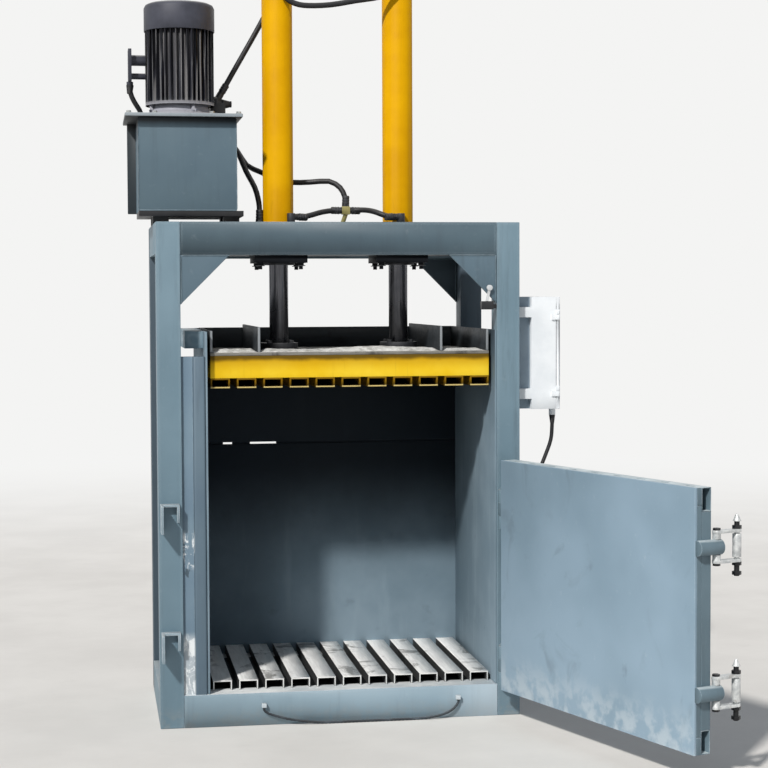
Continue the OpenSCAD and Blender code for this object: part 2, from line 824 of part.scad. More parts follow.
// Barrel, welded mounting flange and welded cap of each ram
module ram_barrels() {
    color("gold") at_rams() {
        difference() {
            union() {
                translate([0, 0, flange_z]) cylinder(d = barrel_d, h = barrel_top - flange_z);
                translate([-flange_w / 2, -flange_w / 2, flange_z]) cube([flange_w, flange_w, flange_t]);
            }
            translate([0, 0, flange_z - eps]) cylinder(d = barrel_bore, h = barrel_top - flange_z - 25);
        }
        translate([0, 0, barrel_top]) cylinder(d = barrel_d - 20, h = 18);
        bolt_corners(flange_w / 2 - 24) {
            translate([0, 0, flange_z - 10]) nut(bolt_d + 8, 10);
            translate([0, 0, flange_z - bolt_hang]) cylinder(d = bolt_d, h = bolt_hang - 10);
        }
    }
}

module ram_gland() {
    difference() {
        union() {
            translate([0, 0, gland_z]) cylinder(d = barrel_d + 10, h = flange_z - gland_z);
            translate([0, 0, flange_z]) cylinder(d = barrel_bore - 0.6, h = flange_t + 12);
        }
        translate([0, 0, gland_z - eps])
            cylinder(r = rod_d / 2 + ram_clear, h = flange_z + flange_t + 12 - gland_z + 2 * eps);
    }
}

// A hose fitting stands against the side of a barrel
module port(turn, z0, z1) {
    rotate([0, 0, turn]) difference() {
        translate([barrel_d / 2 + port_reach, 0, z0]) cylinder(d = 2 * port_reach + 4, h = z1 - z0);
        translate([0, 0, z0 - eps]) cylinder(d = barrel_d + 0.4, h = z1 - z0 + 2 * eps);
    }
}

// An upright fitting against the barrel with a level stub that takes the hose
module banjo(turn, toward) {
    port(turn, port_low, banjo_high);
    rotate([0, 0, turn]) translate([barrel_d / 2 + port_reach, 0, stub_z])
        rotate([0, 90, toward - turn]) cylinder(d = 26, h = stub_l);
}

module ram_fittings() {
    color("dimgray") {
        at_rams() {
            ram_gland();
            port(-90, top_port_low, top_port_high);
        }
        translate([chamber_x - ram_x, 0, 0]) {
            banjo(-53, 17);
            port(180, port_low, port_high);
            port(90, top_port_low, top_port_high);
        }
        translate([chamber_x + ram_x, 0, 0]) banjo(-90, 194);
    }
}

// Feet and a base plate carry the tank over the left rail and the bridge
module tank_stand() {
    left = -tank_x - tank_w / 2;
    right = -tank_x + tank_w / 2 + tank_base_over;
    plate_z = tank_z - tank_base_t;
    color("black") {
        block([left, tank_y - tank_d / 2, plate_z], [right, tank_y + tank_d / 2, tank_z]);
        for (y = [-bridge_d / 2 + 4, bridge_d / 2 - 4 - tank_foot_w]) {
            block([-half_w, y, frame_h], [tank_foot_w - half_w, y + tank_foot_w, plate_z]);
            block([right - 14 - tank_foot_w, y, frame_h], [right - 14, y + tank_foot_w, plate_z]);
        }
        // Gland in the side rail for the motor's lead
        translate([lead_post[0], lead_post[1], frame_h]) cylinder(d = motor_lead_d + 10, h = lead_post[2]);
    }
}

module oil_tank() {
    color("slategray") translate([-tank_x, tank_y, tank_z]) difference() {
        union() {
            block([-tank_w / 2, -tank_d / 2, 0], [tank_w / 2, tank_d / 2, tank_h]);
            block([-tank_w / 2 - tank_lip, tank_d / 2 - 12, 0], [0, tank_d / 2, tank_h]);
        }
        block([tank_wall - tank_w / 2, tank_wall - tank_d / 2, tank_wall],
            [tank_w / 2 - tank_wall, tank_d / 2 - tank_wall, tank_h + eps]);
    }
}

module tank_lid() {
    color("slategray") difference() {
        translate([-tank_x - 14, tank_y, lid_z])
            block([-lid_w / 2, -lid_d / 2, 0], [lid_w / 2, lid_d / 2, lid_t]);
        translate([motor_x, 0, lid_z - eps]) cylinder(d = shaft_d + 20, h = lid_t + 2 * eps);
    }
}

// The pump hangs under the lid, inside the tank, with a strainer on its inlet
module gear_pump() {
    color("dimgray") translate([motor_x, 0, lid_z]) difference() {
        union() {
            translate([-55, -45, -pump_h]) cube([110, 90, pump_h]);
            translate([0, 0, -pump_h - strainer_h]) cylinder(d = strainer_d, h = strainer_h);
        }
        translate([0, 0, -60]) cylinder(r = shaft_d / 2 + shaft_clear, h = 60 + eps);
    }
}

// The motor stands on a bell between two flanges, held by four studs
module motor_body() {
    root_r = motor_d / 2 - fin_h;
    flange = 12;
    color("dimgray") translate([motor_x, 0, deck_top]) difference() {
        union() {
            cylinder(d = motor_d, h = flange);
            cylinder(d1 = motor_d - 12, d2 = motor_d - 64, h = motor_flange_h);
            translate([0, 0, motor_flange_h - flange]) cylinder(d = motor_d, h = flange);
            translate([0, 0, motor_flange_h]) linear_extrude(motor_h) union() {
                circle(root_r);
                for (i = [0 : fin_n - 1]) rotate(i * 360 / fin_n)
                    translate([root_r - 4, -fin_t / 2]) square([fin_h + 4, fin_t]);
            }
            for (i = [0 : 3]) rotate(22.5 + i * 90) translate([motor_d / 2 - 14, 0, flange]) {
                cylinder(d = bolt_d, h = motor_flange_h - 2 * flange);
                nut(bolt_d + 8, 12);
            }
        }
        translate([0, 0, -eps])
            cylinder(r = shaft_d / 2 + shaft_clear, h = motor_h + motor_flange_h + 2 * eps);
    }
}

// A cap over the fan, resting on the fins, with air holes in its top
module fan_cowl() {
    r = motor_d / 2;
    color("dimgray") translate([motor_x, 0, cowl_z]) difference() {
        rotate_extrude() polygon([[r - 8, 0], [r + 4, 0], [r + 4, cowl_h - 18], [r - 2, cowl_h - 6],
            [r - 14, cowl_h], [0, cowl_h], [0, cowl_h - 5], [r - 16, cowl_h - 5], [r - 6, cowl_h - 10],
            [r, cowl_h - 19], [r, 5], [r - 8, 5]]);
        for (ring = [1 : 4], i = [0 : 5 + 5 * ring]) rotate(i * 360 / (6 + 5 * ring))
            translate([10 + ring * 22, 0, cowl_h - 12]) cylinder(d = 9, h = 14);
    }
}

// The shaft runs from the pump through the motor to the fan under the cowl
module motor_rotor() {
    shaft_low = lid_z - shaft_in;
    color("silver") translate([motor_x, 0, 0]) {
        translate([0, 0, shaft_low]) cylinder(d = shaft_d, h = cowl_z + 70 - shaft_low);
        translate([0, 0, cowl_z + 20]) cylinder(d = hub_d, h = 45);
        for (i = [0 : 6]) rotate([0, 0, i * 360 / 7])
            translate([hub_d / 2 - 5, -2, cowl_z + 22]) cube([(fan_d - hub_d) / 2 + 5, 4, 40]);
    }
}

// A flat terminal box stands off the fins on two necks, its gland below
module terminal_box() {
    color("dimgray") {
        block([box_x - box_t, -box_d / 2, box_z0], [box_x, box_d / 2, box_z0 + box_h]);
        difference() {
            union() {
                translate([box_x, 0, box_z0 + 84]) rotate([0, 90, 0]) cylinder(d = 42, h = 70);
                translate([box_x, 0, box_z0 + 22]) rotate([0, 90, 0]) cylinder(d = 24, h = 70);
            }
            translate([motor_x, 0, box_z0 - eps]) cylinder(r = motor_d / 2 + 0.3, h = box_h + 2 * eps);
        }
        translate(lead_gland) cylinder(d = motor_lead_d + 6, h = 13);
    }
}

// Manifold on the lid with two rear hose ports, a riser port and a tapered valve on its right
module valve_block() {
    color("dimgray") {
        block(valve_low, valve_high);
        for (x = valve_ports) translate([x, valve_high[1], valve_port_z]) rotate([-90, 0, 0])
            cylinder(d = hose_d + 6, h = 14);
        translate(riser_base) rotate([0, riser_lean, 0]) cylinder(d = hose_d + 6, h = riser_port_l);
        translate([valve_low[0] + 15, valve_axis_y, deck_top + 63]) rotate([0, 90, 0])
            cylinder(d1 = 58, d2 = 26, h = 62);
    }
}

// A switch with a lever and a roller on the right column watches the platen
module limit_switch() {
    color("black") {
        block([switch_x, switch_y, switch_z], [switch_x + switch_w, switch_y + 32, switch_z + 32]);
        block([switch_x + switch_w, switch_y + 18, switch_z + 4], [col_in, switch_y + 32, switch_z + 20]);
        // The lever's foot is sunk into the switch and leans towards the column
        translate([switch_x + 14, switch_y + 4, switch_z + 24]) rotate([0, 12, 0]) cube([lever_w, 6, lever_l]);
        translate([switch_x + 31, switch_y, switch_z + 22 + lever_l]) rotate([-90, 0, 0]) cylinder(d = 22, h = 14);
    }
}

module control_cabinet() {
    color("whitesmoke") {
        difference() {
            block([cab_x, cab_y, cab_z], [cab_x + cab_body_w, cab_y + cab_d, cab_z + cab_h]);
            block([cab_x + cab_wall, cab_y + cab_wall, cab_z + cab_wall],
                [cab_x + cab_body_w + eps, cab_y + cab_d - cab_wall, cab_z + cab_h - cab_wall]);
        }
        for (z = [cab_z + 40, cab_z + cab_h - 80])
            block([half_w, cab_y, z], [cab_x, front_y + col_d, z + 40]);
        translate(cab_gland) cylinder(d = lead_d + 11, h = cab_z - cab_gland[2]);
        translate(lead_entry) rotate([0, 90, 0]) cylinder(d = lead_d + 11, h = entry_l);
    }
    color("dimgray") for (z = [cab_z + 60, cab_z + 190, cab_z + 330])
        block([cab_x + cab_wall, cab_y + 60, z], [cab_x + cab_wall + cab_part_d, cab_y + cab_d - 60, z + 60]);
    // Two hinges: a knuckle on the cabinet, and a pin that the door's knuckle turns on
    color("silver") for (z = cab_hinge_z) translate([cab_hinge_x, cab_hinge_y, z]) {
        translate([0, 0, -20]) cylinder(r = 6, h = 20);
        block([-26, 0, -20], [0, 3, 0]);
        block([-26, 3, -20], [-8.5, -cab_hinge_y + cab_y, 0]);
        cylinder(r = 3, h = 20);
    }
}

module cabinet_door() {
    color("whitesmoke") difference() {
        block([cab_x + cab_body_w + 0.5, cab_y, cab_z], [cab_face, cab_y + cab_d, cab_z + cab_h]);
        block([cab_x + cab_body_w, cab_y + 8, cab_z + 8], [cab_face - 4, cab_y + cab_d - 8, cab_z + cab_h - 8]);
        for (z = button_z) translate([cab_face - 5, button_y, z]) rotate([0, 90, 0])
            cylinder(d = button_d + 2 * pin_clear, h = 6);
        translate([cab_face - 5, lock_y, cab_z + cab_h / 2]) rotate([0, 90, 0]) cylinder(r = 9 + pin_clear, h = 6);
    }
    color("silver") for (z = cab_hinge_z) translate([cab_hinge_x, cab_hinge_y, z + knuckle_gap]) difference() {
        union() {
            cylinder(r = 6, h = 19);
            block([-6, 0, 0], [6, cab_y - cab_hinge_y, 19]);
        }
        translate([0, 0, -eps]) cylinder(r = 3 + pin_clear, h = 21);
    }
}

module button(z, paint) {
    color(paint) translate([cab_face - 8, button_y, z]) rotate([0, 90, 0])
        cylinder(d = button_d, h = 8 + button_h);
}

module start_button() {
    button(button_z[1], "green");
}

module stop_button() {
    button(button_z[0], "red");
    color("red") translate([cab_face + button_h, button_y, button_z[0]]) rotate([0, 90, 0])
        cylinder(d = button_d + 12, h = 12);
}

module cabinet_lock() {
    color("black") translate([cab_face - 8, lock_y, cab_z + cab_h / 2]) rotate([0, 90, 0]) {
        cylinder(d = 18, h = 16);
        translate([-14, -4, 16]) cube([28, 8, 10]);
    }
}

// Points on a smooth curve through a route, steps to each stretch
function spline(a, b, c, d, t) = 0.5 * (2 * b + (c - a) * t + (2 * a - 5 * b + 4 * c - d) * t * t
    + (3 * b - a - 3 * c + d) * t * t * t);
function reach_point(route, i) = i < 0 ? 2 * route[0] - route[1]
    : i >= len(route) ? 2 * route[len(route) - 1] - route[len(route) - 2] : route[i];
function smooth(route, steps) = [for (i = [0 : len(route) - 2], k = [0 : steps - 1])
    spline(reach_point(route, i - 1), route[i], route[i + 1], reach_point(route, i + 2), k / steps),
    route[len(route) - 1]];
function unit(v) = v / norm(v);
function heading(path, i) = unit(path[min(i + 1, len(path) - 1)] - path[max(i - 1, 0)]);
// A reference direction that none of the routes runs along keeps the rings from turning
sideways = unit([0.3, 1, 0.22]);
function ring_side(path, i) = unit(cross(heading(path, i), sideways));
function ring_up(path, i) = cross(heading(path, i), ring_side(path, i));
function ring_points(path, r) = [for (i = [0 : len(path) - 1], k = [0 : ring_sides - 1])
    path[i] + r * (cos(k * 360 / ring_sides) * ring_side(path, i) + sin(k * 360 / ring_sides) * ring_up(path, i))];
function skin_faces(rings) = [for (i = [0 : rings - 2], k = [0 : ring_sides - 1])
    [i * ring_sides + k, i * ring_sides + (k + 1) % ring_sides,
        (i + 1) * ring_sides + (k + 1) % ring_sides, (i + 1) * ring_sides + k]];
function end_faces(rings) = [[for (k = [ring_sides - 1 : -1 : 0]) k],
    [for (k = [0 : ring_sides - 1]) (rings - 1) * ring_sides + k]];

module cord(route, d) {
    path = smooth(route, 1);
    polyhedron(ring_points(path, d / 2), concat(skin_faces(len(path)), end_faces(len(path))));
}

// The tee stands on a slanted post on the bridge
module hose_tee() {
    color("goldenrod") {
        block(tee_low, tee_high);
        difference() {
            translate([tee_low[0] - 4, 0, frame_h - 10]) rotate([0, 20, 0]) cylinder(d = post_d, h = 60);
            block([0, -30, frame_h - 30], [100, 30, frame_h]);
        }
    }
}

module feed_hose() {
    color("black") cord(feed_hose_route, hose_d);
}

module left_hose() {
    color("black") cord(left_hose_route, hose_d);
}

module left_link_hose() {
    color("black") cord(left_link_route, hose_d);
}

module right_link_hose() {
    color("black") cord(right_link_route, hose_d);
}

module riser_hose() {
    color("black") cord(riser_hose_route, hose_d);
}

module top_link_hose() {
    color("black") cord(top_link_route, hose_d);
}

module motor_lead() {
    color("black") cord(motor_lead_route, motor_lead_d);
}

module cabinet_lead() {
    color("black") cord(cabinet_lead_route, lead_d);
}

module pull_rope() {
    color("black") cord(rope_route, rope_d);
}

front_columns();
rear_columns();
crossbeams();
knee_gussets();
top_side_rails();
ram_bridge();
sills();
base_rails();
floor_plate();
floor_channels();
side_walls();
back_wall();
seam_strip();
wall_stiffeners();
front_jamb();
latch_catches();
door_hinges();
rope_lugs();
door_sheet();
door_edge_bars();
door_rails();
door_stiles();
door_hinge_leaves();
door_latch_bosses();
upper_latch();
lower_latch();
platen_box();
platen_channels();
platen_deck();
platen_rim();
rod_feet();
rods();
ram_barrels();
ram_fittings();
tank_stand();
oil_tank();
tank_lid();
gear_pump();
motor_body();
fan_cowl();
motor_rotor();
terminal_box();
limit_switch();
valve_block();
control_cabinet();
cabinet_door();
cabinet_lock();
start_button();
stop_button();
hose_tee();
feed_hose();
left_hose();
left_link_hose();
right_link_hose();
riser_hose();
top_link_hose();
motor_lead();
cabinet_lead();
pull_rope();
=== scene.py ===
"""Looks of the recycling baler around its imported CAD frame. Metres, the CAD's own frame."""

import math

import bmesh
import bpy
from mathutils import Matrix, Vector, noise


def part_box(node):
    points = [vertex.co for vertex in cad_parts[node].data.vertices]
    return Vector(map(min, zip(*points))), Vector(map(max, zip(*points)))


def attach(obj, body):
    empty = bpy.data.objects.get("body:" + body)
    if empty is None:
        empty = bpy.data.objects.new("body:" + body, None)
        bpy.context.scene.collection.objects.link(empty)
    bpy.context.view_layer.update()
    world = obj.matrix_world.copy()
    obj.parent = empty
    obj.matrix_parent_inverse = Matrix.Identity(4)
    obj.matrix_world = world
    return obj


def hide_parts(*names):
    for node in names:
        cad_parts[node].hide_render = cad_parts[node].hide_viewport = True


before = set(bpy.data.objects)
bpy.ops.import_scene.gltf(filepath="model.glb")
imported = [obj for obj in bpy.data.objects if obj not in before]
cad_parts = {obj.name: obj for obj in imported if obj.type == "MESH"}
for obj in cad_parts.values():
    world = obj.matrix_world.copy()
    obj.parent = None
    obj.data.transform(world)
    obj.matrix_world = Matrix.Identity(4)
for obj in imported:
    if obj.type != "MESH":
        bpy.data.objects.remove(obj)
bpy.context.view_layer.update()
scene = bpy.context.scene
scene.view_settings.view_transform = "Standard"
FRAME_BODY = "frame"
MM = 0.001

CAMERA_AT = (-0.953986, -7.340285, 1.649424)
CAMERA_YAW, CAMERA_PITCH, CAMERA_ROLL = 9.162, -2.813, -0.242
CAMERA_LENS, CAMERA_SENSOR, CAMERA_REACH = 85.86, 36, 200
BACKDROP = "f4f4f3"


# ---------------------------------------------------------------- camera
def add_camera():
    """The camera at the viewing angle to match, turned by yaw and pitch and then rolled about its look."""
    yaw, pitch, roll = (math.radians(angle) for angle in (CAMERA_YAW, CAMERA_PITCH, CAMERA_ROLL))
    look = Vector((math.sin(yaw) * math.cos(pitch), math.cos(yaw) * math.cos(pitch), math.sin(pitch)))
    right = Vector((math.cos(yaw), -math.sin(yaw), 0))
    up = right.cross(look)
    turned_right = math.cos(roll) * right + math.sin(roll) * up
    turned_up = -math.sin(roll) * right + math.cos(roll) * up
    data = bpy.data.cameras.new("camera")
    data.sensor_width = CAMERA_SENSOR
    data.lens = CAMERA_LENS
    data.clip_end = CAMERA_REACH
    camera = bpy.data.objects.new("camera", data)
    scene.collection.objects.link(camera)
    turn = Matrix((turned_right, turned_up, -look)).transposed().to_4x4()
    camera.matrix_world = Matrix.Translation(CAMERA_AT) @ turn
    scene.camera = camera


add_camera()


# ---------------------------------------------------------------- node materials
def linear(code):
    """A hex colour as the linear colour that a socket takes."""
    rgb = [int(code[i:i + 2], 16) / 255 for i in (0, 2, 4)]
    return tuple(c / 12.92 if c <= 0.04045 else ((c + 0.055) / 1.055) ** 2.4 for c in rgb) + (1,)


MIX_AMOUNT, MIX_A, MIX_B, MIX_RESULT = 0, 6, 7, 2
BEVEL_SAMPLES = 6


class Graph:
    """A short way to write a material's nodes."""

    def __init__(self, name):
        self.material = bpy.data.materials.new(name)
        self.material.use_nodes = True
        self.tree = self.material.node_tree
        self.shader = self.tree.nodes["Principled BSDF"]
        self.place = self.tree.nodes.new("ShaderNodeTexCoord").outputs["Object"]
        self.facing = self.place.node.outputs["Normal"]

    def feed(self, socket, value):
        if isinstance(value, bpy.types.NodeSocket):
            self.tree.links.new(value, socket)
        elif value is not None:
            socket.default_value = value

    def math(self, what, a, b=None):
        n = self.tree.nodes.new("ShaderNodeMath")
        n.operation = what
        for socket, value in zip(n.inputs, (a, b)):
            self.feed(socket, value)
        return n.outputs[0]

    def times(self, a, b):
        return self.math("MULTIPLY", a, b)

    def plus(self, a, b):
        return self.math("ADD", a, b)

    def stretch(self, scale):
        n = self.tree.nodes.new("ShaderNodeVectorMath")
        n.operation = "MULTIPLY"
        self.feed(n.inputs[0], self.place)
        n.inputs[1].default_value = scale
        return n.outputs[0]

    def noise(self, scale, detail=3, rough=0.55, stretch=None, distortion=0.0):
        n = self.tree.nodes.new("ShaderNodeTexNoise")
        self.feed(n.inputs["Vector"], self.stretch(stretch) if stretch else self.place)
        for key, value in (("Scale", scale), ("Detail", detail), ("Roughness", rough),
                ("Distortion", distortion)):
            n.inputs[key].default_value = value
        return n.outputs["Fac"]

    def cells(self, scale):
        n = self.tree.nodes.new("ShaderNodeTexVoronoi")
        self.feed(n.inputs["Vector"], self.place)
        n.inputs["Scale"].default_value = scale
        return n.outputs["Distance"]

    def span(self, value, low, high, to_low=0.0, to_high=1.0):
        """Eases from to_low to to_high while the value goes from low to high."""
        n = self.tree.nodes.new("ShaderNodeMapRange")
        n.interpolation_type = "SMOOTHSTEP"
        for i, v in enumerate((value, low, high, to_low, to_high)):
            self.feed(n.inputs[i], v)
        return n.outputs[0]

    def axis(self, source, letter):
        n = self.tree.nodes.new("ShaderNodeSeparateXYZ")
        self.feed(n.inputs[0], source)
        return n.outputs["XYZ".index(letter)]

    def mix(self, amount, a, b):
        n = self.tree.nodes.new("ShaderNodeMix")
        n.data_type = "RGBA"
        for i, value in ((MIX_AMOUNT, amount), (MIX_A, a), (MIX_B, b)):
            self.feed(n.inputs[i], value)
        return n.outputs[MIX_RESULT]

    def tint(self, amount, colour, code):
        """The colour, turned towards a hex colour by the amount."""
        return self.mix(amount, colour, linear(code))

    def nearness(self, radius):
        """How square the surface stands to its own rounded self: 1 on flat ground, less near an edge."""
        bevel = self.tree.nodes.new("ShaderNodeBevel")
        bevel.samples = BEVEL_SAMPLES
        bevel.inputs["Radius"].default_value = radius
        flat = self.tree.nodes.new("ShaderNodeNewGeometry").outputs["Normal"]
        dot = self.tree.nodes.new("ShaderNodeVectorMath")
        dot.operation = "DOT_PRODUCT"
        self.feed(dot.inputs[0], bevel.outputs[0])
        self.feed(dot.inputs[1], flat)
        return dot.outputs["Value"]

    def edges(self, radius):
        """1 along the outer and inner edges, 0 on flat ground."""
        return self.span(self.nearness(radius), 0.88, 0.995, 1.0, 0.0)

    def rubbed(self, radius, scale, low, high):
        """1 on the stretches of the edges that are rubbed."""
        return self.times(self.edges(radius), self.span(self.noise(scale, 4, 0.7), low, high))

    def upward(self, low):
        """1 on what faces up, from the given slope on."""
        return self.span(self.axis(self.facing, "Z"), low, 0.98)

    def highlight_line(self, radius):
        """1 along a thin line beside the edges, where a tube's rounded corner runs out and would catch the
        light.
        """
        near = self.nearness(radius)
        return self.times(self.span(near, 0.955, 0.975), self.span(near, 0.985, 0.996, 1.0, 0.0))

    def bump(self, height, strength, distance):
        n = self.tree.nodes.new("ShaderNodeBump")
        n.inputs["Strength"].default_value = strength
        n.inputs["Distance"].default_value = distance
        self.feed(n.inputs["Height"], height)
        self.feed(self.shader.inputs["Normal"], n.outputs[0])

    def finish(self, colour, rough, metal=0.0, coat=0.0, level=0.5):
        self.feed(self.shader.inputs["Base Color"], colour)
        self.feed(self.shader.inputs["Roughness"], rough)
        self.shader.inputs["Metallic"].default_value = metal
        self.shader.inputs["Coat Weight"].default_value = coat
        self.shader.inputs["Specular IOR Level"].default_value = level
        return self.material


LIP_X = (-0.7553, -0.7545)


def paint(name, base, light, dark, wear="a9bac4", wear_amount=0.6, dirt=0.3, low_dirt=0.0,
        top="a9abaa", top_amount=0.6, edge=0.004, shade_from=None, tube=None,
        under=None, left=None, pale_from=None, lid_shadow_above=None, lip=None):
    """Brushed-on machine paint: cloudy colour, runs of dirt, rubbed edges, dust on what faces up.

    It darkens behind shade_from as painted shade, pales right of pale_from, and is painted black above
    lid_shadow_above as the lid's shadow on the tank. tube is the radius of a painted highlight line beside
    the corners; under and left paint shade on the underside and the left side, and lip colours the tank's
    rear lip.
    """
    g = Graph(name)
    cloud = g.noise(1.7, 4, 0.6)
    fine = g.noise(34, 4, 0.6)
    runs = g.noise(3.2, 4, 0.62, (9, 9, 0.9))
    colour = g.mix(g.span(cloud, 0.35, 0.68), linear(dark), linear(light))
    colour = g.tint(0.45, colour, base)
    colour = g.tint(g.times(g.span(runs, 0.5, 0.78), dirt), colour, "39434a")
    colour = g.tint(g.times(g.span(fine, 0.6, 0.8), 0.06), colour, "c7d0d5")
    # Painted shade: faces deeper than shade_from darken, as if in the shadow of the frame's front.
    if shade_from is not None:
        depth = g.axis(g.place, "Y")
        colour = g.tint(g.span(depth, shade_from, shade_from + 0.02, 0.0, 0.6), colour, "1d252b")
    if low_dirt:
        near_floor = g.span(g.axis(g.place, "Z"), 0.0, 0.1, low_dirt, 0.0)
        colour = g.tint(g.times(near_floor, g.span(fine, 0.4, 0.62)), colour, "8b8c88")
    rubbed = g.rubbed(edge, 18, 0.34, 0.58)
    colour = g.tint(g.times(rubbed, wear_amount), colour, wear)
    up = g.times(g.upward(0.7), g.span(g.noise(9, 3), 0.3, 0.7, 0.6, 1.0))
    colour = g.tint(g.times(up, top_amount), colour, top)
    # Painted highlight: a pale line beside the corners, where a rounded tube corner catches the light.
    if tube:
        colour = g.tint(g.times(g.highlight_line(tube), 0.4), colour, "a4b4bd")
    # Painted shade: the underside turned near-black.
    if under:
        colour = g.tint(g.span(g.axis(g.facing, "Z"), -0.8, -0.4, 0.94, 0.0), colour, under)
    # Painted shadow: black above the given height, the shadow the lid casts on the tank's top.
    if lid_shadow_above:
        shadow_height = g.plus(g.axis(g.place, "Z"), g.times(fine, 0.006))
        colour = g.tint(g.span(shadow_height, lid_shadow_above, lid_shadow_above + 0.026, 0.0, 0.9), colour, "07090b")
    if lip:
        colour = g.tint(g.span(g.axis(g.place, "X"), *LIP_X, 0.85, 0.0), colour, lip)
    # Painted shade: faces turned to the left darkened.
    if left:
        colour = g.tint(g.span(g.axis(g.facing, "X"), -0.95, -0.7, 0.8, 0.0), colour, left)
    if pale_from is not None:
        across = g.axis(g.place, "X")
        colour = g.tint(g.span(across, pale_from, pale_from + 0.25, 0.0, 0.55), colour, "b9c7d0")
    roughness = g.plus(g.span(cloud, 0.3, 0.7, 0.42, 0.6), g.times(rubbed, -0.1))
    g.bump(g.plus(g.noise(220, 2), g.times(g.noise(12, 3), 2.0)), 0.16, 0.0006)
    return g.finish(colour, roughness, level=0.42)


def chamber_paint(name, dark_from, dark_to):
    """The chamber's paint: cloudy, lightly scoured, and turned black towards the platen as painted shade.

    The painted shade is on the faces that look into the chamber, whose place and facing have opposite signs.
    """
    left_shade = (-0.3, -0.04)
    g = Graph(name)
    cloud = g.noise(2.1, 4, 0.62)
    streaks = g.noise(4, 4, 0.6, (3.5, 3.5, 0.5))
    colour = g.mix(g.span(cloud, 0.3, 0.7), linear("6e818d"), linear("8294a0"))
    colour = g.tint(g.times(g.span(streaks, 0.5, 0.75), 0.3), colour, "94a6b1")
    colour = g.tint(g.times(g.span(g.noise(14, 4), 0.6, 0.8), 0.25), colour, "4a565f")
    height = g.plus(g.axis(g.place, "Z"), g.times(g.noise(3, 3), 0.12))
    outward = g.plus(g.times(g.axis(g.place, "X"), g.axis(g.facing, "X")),
        g.times(g.axis(g.place, "Y"), g.axis(g.facing, "Y")))
    inside = g.span(outward, -0.02, 0.02, 1.0, 0.0)
    # Painted shade: the inner faces go black with height, the shade under the platen.
    colour = g.tint(g.times(g.span(height, dark_from, dark_to, 0.0, 0.96), inside), colour, "040b14")
    # Painted shadow: the lower left of the inner faces darkened, as in a shadow cast from the left.
    low_left = g.times(g.span(g.axis(g.place, "X"), *left_shade, 0.4, 0.0), inside)
    colour = g.tint(low_left, colour, "1c242e")
    rubbed = g.rubbed(0.003, 15, 0.4, 0.65)
    colour = g.tint(g.times(rubbed, 0.35), colour, "7d8f9a")
    g.bump(g.plus(streaks, g.noise(90, 3)), 0.2, 0.0008)
    return g.finish(colour, g.span(cloud, 0.3, 0.7, 0.56, 0.7), level=0.12)


def jamb_paint():
    """The jamb's paint, with pale spots and flakes down its left edge."""
    tube_from, white_edge = (-0.5669, -0.5661), (-0.571, -0.562)
    low_flakes, spots_from, spots_to, holes_to = (0.33, 0.37), (0.6, 0.63), (0.72, 0.76), (0.85, 0.9)
    g = Graph("jamb_paint")
    cloud = g.noise(1.7, 4, 0.6)
    runs = g.noise(3.2, 4, 0.62, (9, 9, 0.9))
    colour = g.mix(g.span(cloud, 0.3, 0.7), linear("62788a"), linear("758b99"))
    colour = g.tint(g.times(g.span(runs, 0.5, 0.78), 0.35), colour, "3f4b53")
    # Painted shade: faces turned sideways are darkened.
    side = g.span(g.math("ABSOLUTE", g.axis(g.facing, "X")), 0.5, 0.95, 0.0, 0.45)
    colour = g.tint(side, colour, "2c3840")
    tube = g.span(g.axis(g.place, "X"), *tube_from, 0.0, 0.42)
    colour = g.tint(tube, colour, "3a4750")
    high, across = g.axis(g.place, "Z"), g.axis(g.place, "X")
    left = g.span(across, *white_edge, 1.0, 0.0)
    flakes = g.span(g.noise(26, 5, 0.75, (1, 1, 0.45), 0.8), 0.46, 0.56)
    low = g.times(g.span(high, *low_flakes, 1.0, 0.0), g.span(flakes, 0.0, 1.0, 0.45, 1.0))
    spots = g.times(g.times(g.span(high, *spots_from), g.span(high, *spots_to, 1.0, 0.0)), flakes)
    white_marks = g.times(left, g.math("MAXIMUM", low, spots))
    colour = g.tint(g.times(white_marks, 0.92), colour, "e9edee")
    holes = g.times(g.span(g.noise(19, 3, 0.6, (1, 1, 0.6)), 0.64, 0.7), left)
    colour = g.tint(g.times(holes, g.span(high, *holes_to, 0.7, 0.0)), colour, "27343b")
    colour = g.tint(g.times(g.rubbed(0.004, 18, 0.36, 0.6), 0.5), colour, "b5c3cb")
    g.bump(g.plus(g.noise(200, 2), g.times(white_marks, -1.5)), 0.2, 0.0006)
    return g.finish(colour, g.math("SUBTRACT", 0.52, g.times(white_marks, 0.12)), level=0.4)


def door_paint():
    """The door's inner sheet: pale paint with soft dark smudges from use."""
    g = Graph("door_paint")
    cloud = g.noise(1.6, 3, 0.5)
    smudge = g.noise(5.5, 4, 0.65, (1, 1, 0.7), 0.8)
    colour = g.mix(g.span(cloud, 0.35, 0.65), linear("7f96a6"), linear("8ea5b6"))
    colour = g.tint(g.times(g.span(smudge, 0.56, 0.74), 0.5), colour, "6d7f8c")
    colour = g.tint(g.times(g.span(g.noise(26, 5, 0.7), 0.6, 0.78), 0.35), colour, "a9bac4")
    low = g.times(g.span(g.axis(g.place, "Z"), 0.115, 0.3, 0.55, 0.0), g.span(g.noise(16, 4), 0.4, 0.62))
    colour = g.tint(low, colour, "c3cdd2")
    rubbed = g.rubbed(0.004, 20, 0.35, 0.6)
    colour = g.tint(g.times(rubbed, 0.8), colour, "cfd9de")
    g.bump(g.plus(smudge, g.times(g.noise(160, 2), 0.5)), 0.14, 0.001)
    return g.finish(colour, g.span(smudge, 0.3, 0.7, 0.42, 0.56), level=0.45)


